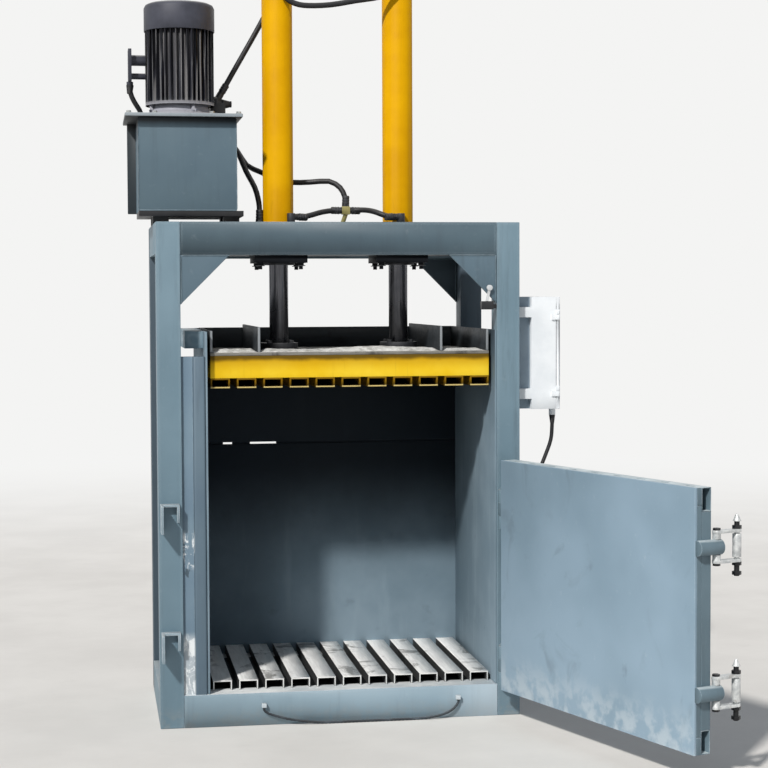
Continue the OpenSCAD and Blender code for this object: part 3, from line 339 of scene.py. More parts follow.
def yellow_paint(name, dark="cb9300", light="dda600", grime=None, lips=None, black_below=None, shade=None):
    """Yellow paint. shade are the heights between which it darkens as painted shade, grime those between
    which it turns brown, lips the height of the channels' pale lips in channels darkened as painted shade,
    and black_below the height under which it is black."""
    g = Graph(name)
    cloud = g.noise(3.5, 4, 0.6)
    runs = g.noise(4, 4, 0.65, (10, 10, 0.8))
    high = g.axis(g.place, "Z")
    colour = g.mix(g.span(cloud, 0.3, 0.7), linear(dark), linear(light))
    colour = g.tint(g.times(g.span(runs, 0.58, 0.82), 0.35), colour, "8a6414")
    rubbed = g.rubbed(0.003, 22, 0.4, 0.62)
    colour = g.tint(g.times(rubbed, 0.6), colour, "efd98c")
    up = g.times(g.upward(0.7), 0.6)
    colour = g.tint(up, colour, "b3a67f")
    wobbly = g.plus(high, g.times(g.noise(11, 4), 0.02))
    # Painted shade: darker towards the top of the platen's face, the shadow of the beam above.
    if shade:
        colour = g.tint(g.span(high, shade[0], shade[1], 0.0, 0.75), colour, "b98a0c")
    if grime:
        colour = g.tint(g.span(wobbly, grime[0], grime[1], 0.0, 0.85), colour, "3d2f12")
    if lips:
        front = g.span(g.axis(g.facing, "Y"), -0.9, -0.6, 1.0, 0.0)
        lip = g.times(front, g.span(high, lips, lips + 0.002, 1.0, 0.0))
        # Painted shade: the channels turned near-black all over, a little less above their lips, the shade
        # inside them.
        colour = g.tint(g.span(high, lips, lips + 0.024, 0.93, 0.72), colour, "1d160a")
        colour = g.tint(g.times(lip, g.span(g.noise(24, 3), 0.2, 0.5, 0.5, 1.0)), colour, "cdb878")
    if black_below:
        colour = g.tint(g.span(high, black_below, black_below + 0.001, 1.0, 0.0), colour, "1a1c20")
    g.bump(g.plus(g.noise(180, 2), g.times(g.noise(14, 3), 1.5)), 0.13, 0.0006)
    return g.finish(colour, g.span(cloud, 0.3, 0.7, 0.46, 0.6), level=0.08)


FRONT_PART = (-0.31, -0.3)


def worn_plate(name, light, dark, stain, along="Y", metal=0.2, rough=0.5, sides=None, front=None):
    """Plate rubbed bright by use, scratched along one way and stained; its sides take painted shade."""
    g = Graph(name)
    stretched = {"X": (0.6, 9, 9), "Y": (9, 0.6, 9)}[along]
    scratch = g.noise(10.0, 5, 0.75, stretched)
    patches = g.noise(5.5, 5, 0.68, None, 0.7)
    colour = g.mix(g.span(scratch, 0.3, 0.7), linear(dark), linear(light))
    colour = g.tint(g.times(g.span(patches, 0.53, 0.66), 0.75), colour, stain)
    # Painted shade: faces that don't face up are darkened.
    if sides:
        level = g.axis(g.facing, "Z")
        colour = g.tint(g.span(level, 0.3, 0.8, 0.94, 0.0), colour, sides)
    if front:
        ahead = g.span(g.axis(g.facing, "Y"), -0.95, -0.7, 1.0, 0.0)
        ahead = g.times(ahead, g.span(g.axis(g.place, "Y"), *FRONT_PART, 1.0, 0.0))
        colour = g.tint(g.times(ahead, 0.9), colour, front)
    colour = g.tint(g.times(g.edges(0.002), 0.25), colour, "d9d8d4")
    g.bump(g.plus(scratch, g.noise(70, 3)), 0.3, 0.0006)
    return g.finish(colour, g.span(scratch, 0.3, 0.7, rough - 0.1, rough + 0.14), metal=metal)


def plain(name, base, light, rough, metal=0.0, coat=0.0, grain=160.0, bump=0.15, dust=0.25, level=0.5,
        wear=None, bright_above=None):
    """Small parts: castings, plastic, rubber and plated steel."""
    g = Graph(name)
    cloud = g.noise(11, 4, 0.6)
    colour = g.mix(g.span(cloud, 0.3, 0.7), linear(base), linear(light))
    if wear:
        rubbed = g.rubbed(0.0025, 30, 0.35, 0.6)
        colour = g.tint(g.times(rubbed, 0.7), colour, wear)
    up = g.times(g.upward(0.55), g.span(g.noise(16, 3), 0.3, 0.7, 0.4, 1.0))
    colour = g.tint(g.times(up, dust), colour, "a5a39d")
    if bright_above:
        band = g.span(g.axis(g.place, "Z"), bright_above, bright_above + 0.0005)
        colour = g.mix(band, colour, g.mix(g.span(cloud, 0.3, 0.7), linear("c3c6c8"), linear("e0e2e2")))
    g.bump(g.plus(g.noise(grain, 3), cloud), bump, 0.0005)
    return g.finish(colour, g.span(cloud, 0.3, 0.7, rough - 0.06, rough + 0.08), metal, coat, level)


def motor_paint(name, dark, light, dusty_to=None):
    """Dark castings, grey with dust towards their foot."""
    nuts_below = (2.37, 2.4)
    g = Graph(name)
    cloud = g.noise(9, 4, 0.6)
    colour = g.mix(g.span(cloud, 0.3, 0.7), linear(dark), linear(light))
    if dusty_to:
        height = g.plus(g.axis(g.place, "Z"), g.times(g.noise(14, 3), 0.02))
        colour = g.tint(g.span(height, dusty_to - 0.01, dusty_to + 0.03, 0.85, 0.0), colour, "a7a8b2")
        nuts = g.times(g.span(g.cells(60), 0.12, 0.3, 0.6, 0.0), g.span(height, *nuts_below, 1.0, 0.0))
        colour = g.tint(g.times(nuts, 0.4), colour, "4a4b52")
    up = g.times(g.upward(0.55), 0.6)
    colour = g.tint(up, colour, "a3a1a0")
    rubbed = g.rubbed(0.002, 30, 0.35, 0.6)
    colour = g.tint(g.times(rubbed, 0.25), colour, "5c5f68")
    g.bump(g.plus(g.noise(150, 3), cloud), 0.16, 0.0006)
    return g.finish(colour, g.span(cloud, 0.3, 0.7, 0.42, 0.58), level=0.35)


def rod_metal():
    g = Graph("rod_metal")
    fine = g.noise(8, 4, 0.7, (30, 30, 0.6))
    film = g.noise(6, 3)
    colour = g.mix(g.span(fine, 0.3, 0.7), linear("4d4e54"), linear("6a6b70"))
    colour = g.tint(g.times(g.span(film, 0.5, 0.75), 0.4), colour, "2c2d33")
    g.bump(fine, 0.08, 0.0003)
    return g.finish(colour, g.span(film, 0.3, 0.7, 0.2, 0.34), metal=0.85)


def zinc():
    g = Graph("zinc")
    spangle = g.cells(70)
    colour = g.mix(g.span(spangle, 0.1, 0.7), linear("c9ccca"), linear("9da1a2"))
    colour = g.tint(g.times(g.span(g.noise(28, 4), 0.55, 0.75), 0.5), colour, "77726a")
    g.bump(g.noise(120, 3), 0.16, 0.0005)
    return g.finish(colour, g.span(spangle, 0.1, 0.7, 0.3, 0.46), metal=0.75)


def latch_metal(name, middle):
    """Bright plated arms, roller and point, with black nuts and ends above and below the arms.

    Middle is the latch's height; the black begins past the arms and ends at the point.
    """
    past_arms, at_point = (0.0551, 0.0556), (0.0805, 0.0812)
    g = Graph(name)
    spangle = g.noise(60, 4)
    colour = g.mix(g.span(spangle, 0.3, 0.7), linear("b4b8b9"), linear("dcdedd"))
    colour = g.tint(g.times(g.span(g.noise(34, 4), 0.58, 0.76), 0.5), colour, "7a7064")
    high = g.math("SUBTRACT", g.axis(g.place, "Z"), middle)
    beyond = g.span(g.math("ABSOLUTE", high), *past_arms)
    black = g.times(beyond, g.span(high, *at_point, 1.0, 0.0))
    colour = g.tint(black, colour, "17181b")
    g.bump(g.noise(130, 3), 0.2, 0.0005)
    return g.finish(colour, g.span(spangle, 0.3, 0.7, 0.32, 0.5), metal=0.3)


def rubber(name, base="15161a", light="26282d"):
    g = Graph(name)
    weave = g.plus(g.cells(420), g.noise(500, 2))
    film = g.noise(13, 4)
    colour = g.mix(g.span(film, 0.45, 0.75), linear(base), linear(light))
    up = g.times(g.span(g.axis(g.facing, "Z"), 0.3, 1.0), 0.22)
    colour = g.tint(up, colour, "74736f")
    g.bump(weave, 0.22, 0.0004)
    return g.finish(colour, g.span(film, 0.3, 0.7, 0.42, 0.6), level=0.4)


def dust():
    g = Graph("dust")
    lump = g.noise(26, 5, 0.7)
    colour = g.mix(g.span(lump, 0.3, 0.6), linear("a9a8a2"), linear("e2e1dd"))
    colour = g.tint(g.times(g.span(g.cells(38), 0.25, 0.6), 0.2), colour, "7c7a74")
    g.bump(g.plus(lump, g.noise(140, 4)), 0.9, 0.003)
    return g.finish(colour, 0.95, level=0.1)


BLUE = paint("blue_grey_paint", "6b8390", "748c99", "5f7784", low_dirt=0.4, tube=0.016)
# Rear columns: a darker copy of the frame paint as painted shade, darker still behind shade_from.
REAR = paint("rear_paint", "66798a", "6d8290", "5b707c", shade_from=-0.2)
SILL = paint("sill_paint", "7d929e", "889ca8", "728793", low_dirt=0.3, top="eef0ef", top_amount=1.0,
    wear="c9d4da", dirt=0.15, tube=0.016, pale_from=0.35)
BEAM = paint("beam_paint", "475a65", "53666f", "3d4d57", wear="8fa1ac", wear_amount=0.7, dirt=0.25,
    tube=0.016)
# Gussets: the rear ones darken behind shade_from, painted shade.
GUSSET = paint("gusset_paint", "526773", "5d717e", "475b67", wear="93a5b0", wear_amount=0.8, edge=0.006,
    shade_from=0.0)
# The tank: painted black under its lid as the lid's shadow.
TANK = paint("tank_paint", "546975", "5e727c", "4b5f6c", wear="8194a0", wear_amount=0.8, dirt=0.2, edge=0.007,
    lip="0c0f12", lid_shadow_above=2.306)
# The lid: painted shade on its underside and on its left side.
LID = paint("lid_paint", "8d979d", "a4abb0", "79848b", wear="c9cdd0", dirt=0.2, top="b9bbbb", top_amount=0.9,
    under="030405", left="15181b")
CATCH = paint("catch_paint", "8ea0aa", "a9b8c0", "73858f", wear="dbe3e6", wear_amount=1.0, dirt=0.2,
    edge=0.005)
LUG = paint("lug_paint", "b9c3c9", "cbd3d7", "a2aeb5", wear="e4e9eb", dirt=0.1)
DOOR = door_paint()
DOOR_FRAME = paint("door_frame_paint", "62767f", "6f838f", "556975", wear="a9bac4", wear_amount=0.85,
    top="cfdadd", top_amount=0.9)
CHAMBER = chamber_paint("chamber_paint", 0.42, 1.0)
SIDES = chamber_paint("side_wall_paint", 1.1, 1.75)
JAMB = jamb_paint()
RIBS = worn_plate("rib_metal", "fbfbf9", "e4e4e2", "6a6966", sides="15171a", front="eeeeeb")
FLOOR_PLATE = worn_plate("floor_plate_metal", "3a3c3e", "1f2123", "131416", "X", 0.1, 0.6)
DECK = worn_plate("deck_metal", "8f8d86", "54524f", "343331", "X", 0.1, 0.65)
# The platen rim: its dark colours are painted shade.
RIM = worn_plate("rim_metal", "2d3338", "1a1f24", "101418", "X", 0.1, 0.6, front="8f9498")
YELLOW = yellow_paint("ram_yellow", black_below=1.8055)
PLATEN_YELLOW = yellow_paint("platen_yellow", "ecc01c", "f6d43c", grime=(1.398, 1.418), shade=(1.345, 1.405))
CHANNEL_YELLOW = yellow_paint("channel_yellow", "d9a00c", "ecb919", lips=1.2975)
MOTOR = motor_paint("motor_paint", "30323b", "444651")
FINS = motor_paint("fin_paint", "1a1c24", "282a33", 2.4)
DARK = plain("dark_steel", "1d1e22", "303237", 0.5, 0.2, wear="6b6d70", dust=0.35)
BLACK = plain("black_paint", "0c0d10", "18191d", 0.45, wear="3a3d42", dust=0.25)
WHITE = plain("white_powder_coat", "dfe4e8", "eaeef1", 0.45, grain=320, bump=0.1, dust=0.1,
    wear="c9cccb", level=0.3)
# Cabinet mounts: a grey that stands for white plates in the column's shadow, painted shade.
MOUNTS = plain("mount_paint", "8494a1", "8f9eaa", 0.5, grain=320, bump=0.1, dust=0.1, level=0.3)
PLASTIC = plain("black_plastic", "121316", "1f2125", 0.4, grain=300)
SWITCH = plain("switch_plastic", "101114", "1b1d21", 0.45, grain=300, dust=0.1, bright_above=1.6205)
GREEN = plain("green_plastic", "157a3a", "1f8f49", 0.28, coat=0.3, grain=300)
RED = plain("red_plastic", "b3150f", "cc2217", 0.28, coat=0.3, grain=300)
BRASS = plain("fitting_brass", "8d8452", "b1a970", 0.38, 0.5, wear="d9d2a6")
PLATED = zinc()
UPPER_LATCH = latch_metal("upper_latch_metal", 0.808)
LOWER_LATCH = latch_metal("lower_latch_metal", 0.320)
ROD = rod_metal()
HOSE = rubber("hose_rubber")
LEAD = rubber("lead_rubber", "101114", "1d1f23")
ROPE = rubber("rope_fibre", "22282e", "4b565f")
DUST = dust()

FINISHES = {
    "front_columns": BLUE, "rear_columns": REAR, "crossbeams": BEAM, "knee_gussets": GUSSET,
    "top_side_rails": BLUE, "ram_bridge": BEAM, "sills": SILL, "base_rails": BLUE,
    "floor_plate": FLOOR_PLATE, "floor_channels": RIBS, "side_walls": SIDES, "back_wall": CHAMBER,
    "seam_strip": CHAMBER, "wall_stiffeners": BLUE, "front_jamb": JAMB, "latch_catches": CATCH,
    "door_hinges": BLUE, "rope_lugs": LUG, "door_sheet": DOOR, "door_edge_bars": DOOR_FRAME,
    "door_rails": DOOR_FRAME, "door_stiles": DOOR_FRAME, "door_hinge_leaves": DOOR_FRAME,
    "door_latch_bosses": DOOR_FRAME, "upper_latch": UPPER_LATCH, "lower_latch": LOWER_LATCH,
    "platen_box": PLATEN_YELLOW, "platen_channels": CHANNEL_YELLOW, "platen_deck": DECK, "platen_rim": RIM,
    "rod_feet": DARK, "rods": ROD, "ram_barrels": YELLOW, "ram_fittings": DARK, "tank_stand": BLACK,
    "oil_tank": TANK, "tank_lid": LID, "gear_pump": BLACK, "motor_body": FINS, "fan_cowl": MOTOR,
    "motor_rotor": DARK, "terminal_box": MOTOR, "valve_block": BLACK, "limit_switch": SWITCH,
    "control_cabinet": WHITE, "cabinet_door": WHITE, "cabinet_lock": PLASTIC, "start_button": GREEN,
    "stop_button": RED, "hose_tee": BRASS,
}
# Radius of the rounded edges, in millimetres, where it isn't EDGE_ROUND
ROUND_EDGES = {
    "motor_body": 0.8, "fan_cowl": 0.8, "latch_catches": 1.5, "start_button": 1.2, "stop_button": 1.5,
    "cabinet_lock": 1.0, "hose_tee": 1.5, "limit_switch": 1.2, "control_cabinet": 1.0, "cabinet_door": 1.5,
    "floor_channels": 2.0, "platen_channels": 1.6, "rods": 1.0, "motor_rotor": 0.8, "seam_strip": 0.6,
    "terminal_box": 1.2, "rope_lugs": 2.0, "upper_latch": 1.2, "lower_latch": 1.2,
}
CORDS = ("feed_hose", "left_hose", "left_link_hose", "right_link_hose", "riser_hose", "top_link_hose",
    "motor_lead", "cabinet_lead", "pull_rope")

EDGE_ROUND, EDGE_SEGMENTS, EDGE_ANGLE = 2.4, 2, 38
MERGE_WITHIN = 0.00002

for node_name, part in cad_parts.items():
    if node_name in CORDS:
        continue
    part.data.materials.clear()
    part.data.materials.append(FINISHES[node_name])
    part.data.shade_smooth()
    weld = part.modifiers.new("weld", "WELD")
    weld.merge_threshold = MERGE_WITHIN
    bevel = part.modifiers.new("bevel", "BEVEL")
    bevel.width = ROUND_EDGES.get(node_name, EDGE_ROUND) * MM
    bevel.segments = EDGE_SEGMENTS
    bevel.limit_method = "ANGLE"
    bevel.angle_limit = math.radians(EDGE_ANGLE)
    bevel.harden_normals = True
    bevel.use_clamp_overlap = True


# ---------------------------------------------------------------- mesh helpers
SHARP_ANGLE = 35


def add_piece(name, bm, material, body=FRAME_BODY, smooth=True):
    mesh = bpy.data.meshes.new(name)
    bmesh.ops.recalc_face_normals(bm, faces=bm.faces)
    bm.to_mesh(mesh)
    bm.free()
    piece = bpy.data.objects.new(name, mesh)
    scene.collection.objects.link(piece)
    mesh.materials.append(material)
    if smooth:
        mesh.shade_smooth()
        mesh.set_sharp_from_angle(angle=math.radians(SHARP_ANGLE))
    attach(piece, body)
    return piece


UP = Vector((0, 0, 1))


def turn_to(direction):
    return Vector(direction).normalized().to_track_quat("Z", "Y").to_matrix().to_4x4()


def skin(bm, rings):
    """Joins rings of corners by walls and closes both ends."""
    sides = len(rings[0])
    for low, high in zip(rings, rings[1:]):
        for k in range(sides):
            bm.faces.new((low[k], low[(k + 1) % sides], high[(k + 1) % sides], high[k]))
    bm.faces.new(rings[0][::-1])
    bm.faces.new(rings[-1])


def lathe(bm, profile, at, direction=(0, 0, 1), sides=28, turn=0.0):
    """Adds a turned solid: profile is (radius, height) from one end to the other."""
    place = Matrix.Translation(at) @ turn_to(direction)
    rings = []
    for radius, height in profile:
        rings.append([bm.verts.new(place @ Vector((radius * math.cos(turn + math.tau * k / sides),
            radius * math.sin(turn + math.tau * k / sides), height))) for k in range(sides)])
    skin(bm, rings)


def hexagon(bm, across, height, at, direction=(0, 0, 1), turn=0.0):
    """A hexagon nut or bolt head with chamfered corners."""
    r = across / math.sqrt(3)
    c = 0.07 * across
    lathe(bm, [(r - c, 0), (r, c * 0.6), (r, height - c * 0.6), (r - c, height)], at, direction, 6, turn)


def bolt(bm, d, at, turn):
    """An upright bolt head on its washer."""
    washer_t = 0.0022
    at = Vector(at)
    lathe(bm, [(d * 1.05, 0), (d * 1.1, 0.0004), (d * 1.1, 0.0018), (d * 1.05, washer_t)], at, sides=24)
    hexagon(bm, d * 1.6, d * 0.65, at + UP * washer_t, turn=turn)


BEAD_STEP, BEAD_RIPPLE, BEAD_SIDES = 0.0035, 0.0075, 8


def bead(bm, start, end, radius, seed):
    """A weld bead: a row of overlapping ripples between two points."""
    start, end = Vector(start), Vector(end)
    length = (end - start).length
    direction = (end - start).normalized()
    place = Matrix.Translation(start) @ turn_to(direction)
    steps = max(6, int(length / BEAD_STEP))
    rings = []
    for i in range(steps + 1):
        s = i / steps
        ripple = 0.82 + 0.18 * abs(math.sin(s * length / BEAD_RIPPLE * math.pi))
        wander = 0.0006 * noise.noise(Vector((s * length * 40, seed, 0)))
        fade = min(1.0, 0.35 + 6 * min(s, 1 - s) * length / 0.05)
        r = radius * ripple * fade
        rings.append([bm.verts.new(place @ Vector((wander + r * math.cos(math.tau * k / BEAD_SIDES),
            r * math.sin(math.tau * k / BEAD_SIDES), s * length))) for k in range(BEAD_SIDES)])
    skin(bm, rings)


# ---------------------------------------------------------------- cords
# Each cord's way in millimetres, from where it leaves its fitting to where it goes into its other one
ROUTES = {
    "feed_hose": [(-415, 134, 2400), (-415, 200, 2400), (-415, 244, 2390),
        (-410, 272, 2350), (-392, 278, 2295),
        (-341, 228, 2239), (-306, 195, 2180), (-254, 140, 2148), (-197, 110, 2122), (-138, 95, 2104),
        (-59, 75, 2104), (15, 45, 2106), (56, 15, 2079), (72, 2, 2045), (76, 0, 2022), (76, 0, 2002)],
    "left_hose": [(-445, 134, 2400), (-445, 190, 2400), (-441, 230, 2392),
        (-430, 250, 2362), (-408, 250, 2320),
        (-374, 232, 2275), (-343, 200, 2237), (-313, 140, 2152), (-284, 66, 2080), (-273, 18, 2020),
        (-272, 0, 1975), (-272, 0, 1945)],
    "left_link_hose": [(60, 0, 1986), (44, 0, 1986), (8, -6, 1984), (-30, -18, 1977), (-68, -33, 1966),
        (-104, -45, 1958), (-127, -52, 1958)],
    "right_link_hose": [(92, 0, 1986), (106, 0, 1986), (132, -10, 1988), (160, -31, 1986), (186, -56, 1979),
        (211, -77, 1968), (240, -87, 1958), (264, -81, 1958)],
    "riser_hose": [(-416.33, 90, 2456.1), (-403.52, 90, 2477.58), (-368, 90, 2540), (-316, 91, 2630),
        (-268, 92, 2714), (-228, 94, 2790), (-204, 84, 2860), (-197, 75, 2900), (-197, 75, 2925)],
    "top_link_hose": [(-197, -75, 2925), (-197, -75, 2900), (-190, -78, 2855), (-170, -80, 2818),
        (-130, -82, 2796), (-80, -84, 2789), (8, -84, 2794), (108, -84, 2812), (208, -84, 2830),
        (264, -82, 2860), (289, -75, 2900), (289, -75, 2925)],
    "motor_lead": [(-780, 0, 2476), (-780, 0, 2456), (-773, 2, 2430), (-759, 6, 2404), (-744, 16, 2382),
        (-736, 44, 2367), (-724, 100, 2363), (-704, 160, 2363), (-690, 210, 2366), (-684, 234, 2364),
        (-679, 258, 2354), (-676, 284, 2326), (-675, 294, 2286), (-675, 290, 2200), (-675, 280, 2100),
        (-675, 278, 2010), (-675, 278, 1945)],
    "cabinet_lead": [(855, -300, 1170), (855, -300, 1130), (849, -302, 1070), (824, -306, 1004),
        (796, -314, 940), (774, -326, 880), (754, -340, 842), (734, -350, 824), (714, -350, 824)],
    "pull_rope": [(-306, -412, 70), (-306, -412, 60), (-288, -414, 46), (-232, -418, 28), (-168, -420, 15),
        (-104, -420, 7), (-50, -420, 5), (60, -420, 5), (200, -420, 5), (320, -420, 6), (385, -420, 16),
        (428, -416, 34), (451, -412, 60), (451, -412, 72)],
}


MOST_STEPS = 38


def smooth_route(points):
    """Catmull-Rom through the route's points, in metres, at two to four steps to each stretch."""
    pts = [Vector(p) * MM for p in points]
    pts = [2 * pts[0] - pts[1]] + pts + [2 * pts[-1] - pts[-2]]
    steps = max(2, min(4, MOST_STEPS // (len(points) - 1)))
    out = []
    for i in range(1, len(pts) - 2):
        a, b, c, d = pts[i - 1:i + 3]
        for k in range(steps):
            t = k / steps
            out.append(0.5 * (2 * b + (c - a) * t + (2 * a - 5 * b + 4 * c - d) * t * t
                + (3 * b - a - 3 * c + d) * t ** 3))
    return out + [pts[-2]]


def hose_curve(name, points, diameter, material):
    data = bpy.data.curves.new(name, "CURVE")
    data.dimensions = "3D"
    data.bevel_depth = diameter / 2
    data.bevel_resolution = 5
    data.use_fill_caps = True
    spline = data.splines.new("POLY")
    spline.points.add(len(points) - 1)
    for point, co in zip(spline.points, points):
        point.co = (*co, 1)
    spline.use_smooth = True
    data.materials.append(material)
    piece = bpy.data.objects.new(name, data)
    scene.collection.objects.link(piece)
    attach(piece, FRAME_BODY)
    return piece


ROPE_STRANDS, ROPE_PITCH, ROPE_SIDES, ROPE_STEP = 3, 0.045, 15, 0.003


def rope_tube(name, points, diameter, material):
    """A laid rope: a tube whose section has three lobes that turn along it."""
    fine = []
    for a, b in zip(points, points[1:]):
        n = max(1, int((b - a).length / ROPE_STEP))
        fine += [a.lerp(b, k / n) for k in range(n)]
    fine.append(points[-1])
    bm = bmesh.new()
    rings, run = [], 0.0
    side = Vector((0, 1, 0))
    for i, p in enumerate(fine):
        heading = (fine[min(i + 1, len(fine) - 1)] - fine[max(i - 1, 0)]).normalized()
        side = (side - heading * side.dot(heading)).normalized()
        other = heading.cross(side)
        if i:
            run += (p - fine[i - 1]).length
        ring = []
        for k in range(ROPE_SIDES):
            angle = math.tau * k / ROPE_SIDES
            lobe = abs(math.cos(ROPE_STRANDS * (angle - math.tau * run / ROPE_PITCH) / 2))
            r = diameter / 2 * (0.72 + 0.28 * lobe ** 0.6)
            ring.append(bm.verts.new(p + r * (math.cos(angle) * side + math.sin(angle) * other)))
        rings.append(ring)
    skin(bm, rings)
    return add_piece(name, bm, material, smooth=False)


# Radius and height along a crimped sleeve, from its nut
SLEEVE = [(0.0135, 0), (0.0150, 0.001), (0.0150, 0.008), (0.0138, 0.009), (0.0138, 0.011), (0.0148, 0.012),
    (0.0148, 0.019), (0.0138, 0.020), (0.0138, 0.022), (0.0146, 0.023), (0.0146, 0.031), (0.0130, 0.034),
    (0.0112, 0.0345)]


NUT_ACROSS, NUT_H = 0.0265, 0.009
RELIEF_LENGTH, RELIEF_COLLAR, RELIEF_RIBS = 0.034, 0.005, 7


def cord_ends(points):
    """Both ends of a cord, each with the way that leads back along it."""
    return (points[0], points[1] - points[0]), (points[-1], points[-2] - points[-1])


def sleeves(name, points):
    """Crimped sleeves with hexagon nuts on the two ends of a hose."""
    bm = bmesh.new()
    for at, toward in cord_ends(points):
        direction = toward.normalized()
        hexagon(bm, NUT_ACROSS, NUT_H, at, direction)
        lathe(bm, [(r, h + NUT_H) for r, h in SLEEVE], at, direction)
    return add_piece(name, bm, DARK)


def strain_relief(name, points, diameter):
    """Tapered and ribbed sleeves where a lead leaves its gland."""
    bm = bmesh.new()
    r = diameter / 2
    profile = [(r + 0.0045, 0), (r + 0.0045, RELIEF_COLLAR)]
    for i in range(RELIEF_RIBS):
        h = RELIEF_COLLAR + i * (RELIEF_LENGTH - 0.006) / RELIEF_RIBS
        w = 0.0042 - 0.0005 * i
        profile += [(r + w, h + 0.0004), (r + w, h + 0.0026), (r + w - 0.001, h + 0.003),
            (r + w - 0.001, h + 0.0036)]
    profile.append((r + 0.0004, RELIEF_LENGTH))
    for at, toward in cord_ends(points):
        lathe(bm, profile, at, toward)
    return add_piece(name, bm, LEAD)


HOSE_D, MOTOR_LEAD_D, LEAD_D, ROPE_D = 0.022, 0.020, 0.015, 0.010
for cord_name in CORDS:
    line = smooth_route(ROUTES[cord_name])
    if cord_name.endswith("_hose"):
        piece = hose_curve(cord_name + "_tube", line, HOSE_D, HOSE)
        extras = [sleeves(cord_name + "_sleeves", line)]
    elif cord_name == "pull_rope":
        piece = rope_tube(cord_name + "_strands", line, ROPE_D, ROPE)
        extras = []
    else:
        d = MOTOR_LEAD_D if cord_name == "motor_lead" else LEAD_D
        piece = hose_curve(cord_name + "_cable", line, d, LEAD)
        extras = [strain_relief(cord_name + "_reliefs", line, d)]
    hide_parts(cord_name)


# ---------------------------------------------------------------- detail pieces
def frame_welds():
    """Beads where the tubes and plates of the frame meet, front and back."""
    column_in, face, gusset_t = 0.610, 0.397, 0.012
    beam, sill, gusset = (1.802, 1.923), (0.004, 0.121), (1.6145, 1.796)
    under_beam, off_column, tip = 1.7975, 0.004, 0.186
    bm = bmesh.new()
    seed = 0
    for side in (-1, 1):
        x = side * column_in
        for y in (-face, face):
            bead(bm, (x, y, beam[0]), (x, y, beam[1]), 0.003, seed)
            bead(bm, (x, y, sill[0]), (x, y, sill[1]), 0.003, seed + 1)
            seed += 2
        for y in (-face, face):
            for plate_y in (y, y - math.copysign(gusset_t, y)):
                up_x, near_x, tip_x = x - side * off_column, x - side * 0.006, x - side * tip
                bead(bm, (up_x, plate_y, gusset[0]), (up_x, plate_y, gusset[1]), 0.0028, seed)
                bead(bm, (tip_x, plate_y, under_beam), (near_x, plate_y, under_beam), 0.0028, seed + 3)
                seed += 1
    for z in (0.005, 0.120):
        bead(bm, (-0.608, -0.3005, z), (0.608, -0.3005, z), 0.0025, seed)
        seed += 1
    add_piece("frame_welds", bm, BEAM)


def ram_details():
    """Washers at the nuts of the rams' flanges, and a weld ring round each barrel's cap."""
    ram_at, nut_reach, nuts_z = (-0.197, 0.289), 0.081, 1.7649
    cap_r, cap_z, cap_steps = 0.0515, 3.0305, 48
    bm = bmesh.new()
    welds = bmesh.new()
    for x in ram_at:
        for i in (-1, 1):
            for j in (-1, 1):
                at = (x + i * nut_reach, j * nut_reach, nuts_z)
                lathe(bm, [(0.0175, 0), (0.0180, -0.0005), (0.0180, -0.0026), (0.0175, -0.003)], at)
        ring = []
        for k in range(cap_steps + 1):
            a = math.tau * k / cap_steps
            ring.append((x + cap_r * math.cos(a), cap_r * math.sin(a), cap_z))
        for a, b in zip(ring, ring[1:]):
            bead(welds, a, b, 0.0035, 5)
    add_piece("ram_washers", bm, DARK)
    add_piece("ram_cap_welds", welds, YELLOW)


def tank_details():
    """Bolts round the lid, and weld beads along the tank's edges."""
    bolt_d, lid_top = 0.010, 2.352
    left, right, front, back = -0.790, -0.366, -0.175, 0.215
    bm = bmesh.new()
    for x in (left, -0.690, -0.470, right):
        for y in (front, back):
            bolt(bm, bolt_d, (x, y, lid_top), x * 9)
    for x in (left, right):
        for y in (-0.045, 0.085):
            bolt(bm, bolt_d, (x, y, lid_top), y * 7)
    add_piece("lid_bolts", bm, PLATED)
    bm = bmesh.new()
    for x, y in ((-0.754, -0.150), (-0.374, -0.150), (-0.374, 0.190)):
        bead(bm, (x, y, 1.980), (x, y, 2.335), 0.0024, 31 + x)
    bead(bm, (-0.752, -0.1505, 1.9785), (-0.376, -0.1505, 1.9785), 0.0024, 33)
    add_piece("tank_welds", bm, TANK)


def valve_details():
    """Hexagon plugs and cap screws of the manifold and its tapered valve."""
    valve_y, valve_z = 0.090, 2.415
    ring = [(0.0295, 0), (0.0305, 0.002), (0.0305, 0.012), (0.029, 0.014)]
    bm = bmesh.new()
    for x in (-0.446, -0.414):
        hexagon(bm, 0.017, 0.008, (x, 0.060, 2.372), (0, -1, 0))
    for y in (0.072, 0.108):
        lathe(bm, [(0.006, 0), (0.006, 0.009), (0.005, 0.010)], (-0.408, y, 2.418))
    lathe(bm, ring, (-0.4445, valve_y, valve_z), (1, 0, 0), 32)
    hexagon(bm, 0.024, 0.010, (-0.3832, valve_y, valve_z), (1, 0, 0))
    add_piece("valve_plugs", bm, DARK)


def cabinet_mounts():
    """Folded plates that close the space between the column and the cabinet, one beside each bracket and one
    between the two."""
    x0, x1, y0, lip, t = 0.7006, 0.7594, -0.3185, 0.014, 0.002
    section = [(x0, y0), (x1, y0), (x1, y0 + lip), (x1 - t, y0 + lip), (x1 - t, y0 + t), (x0 + t, y0 + t),
        (x0 + t, y0 + lip), (x0, y0 + lip)]
    bm = bmesh.new()
    for heights in ((1.1965, 1.2355), (1.2765, 1.5555), (1.5965, 1.6355)):
        skin(bm, [[bm.verts.new((x, y, z)) for x, y in section] for z in heights])
    add_piece("cabinet_mounts", bm, MOUNTS, smooth=False)


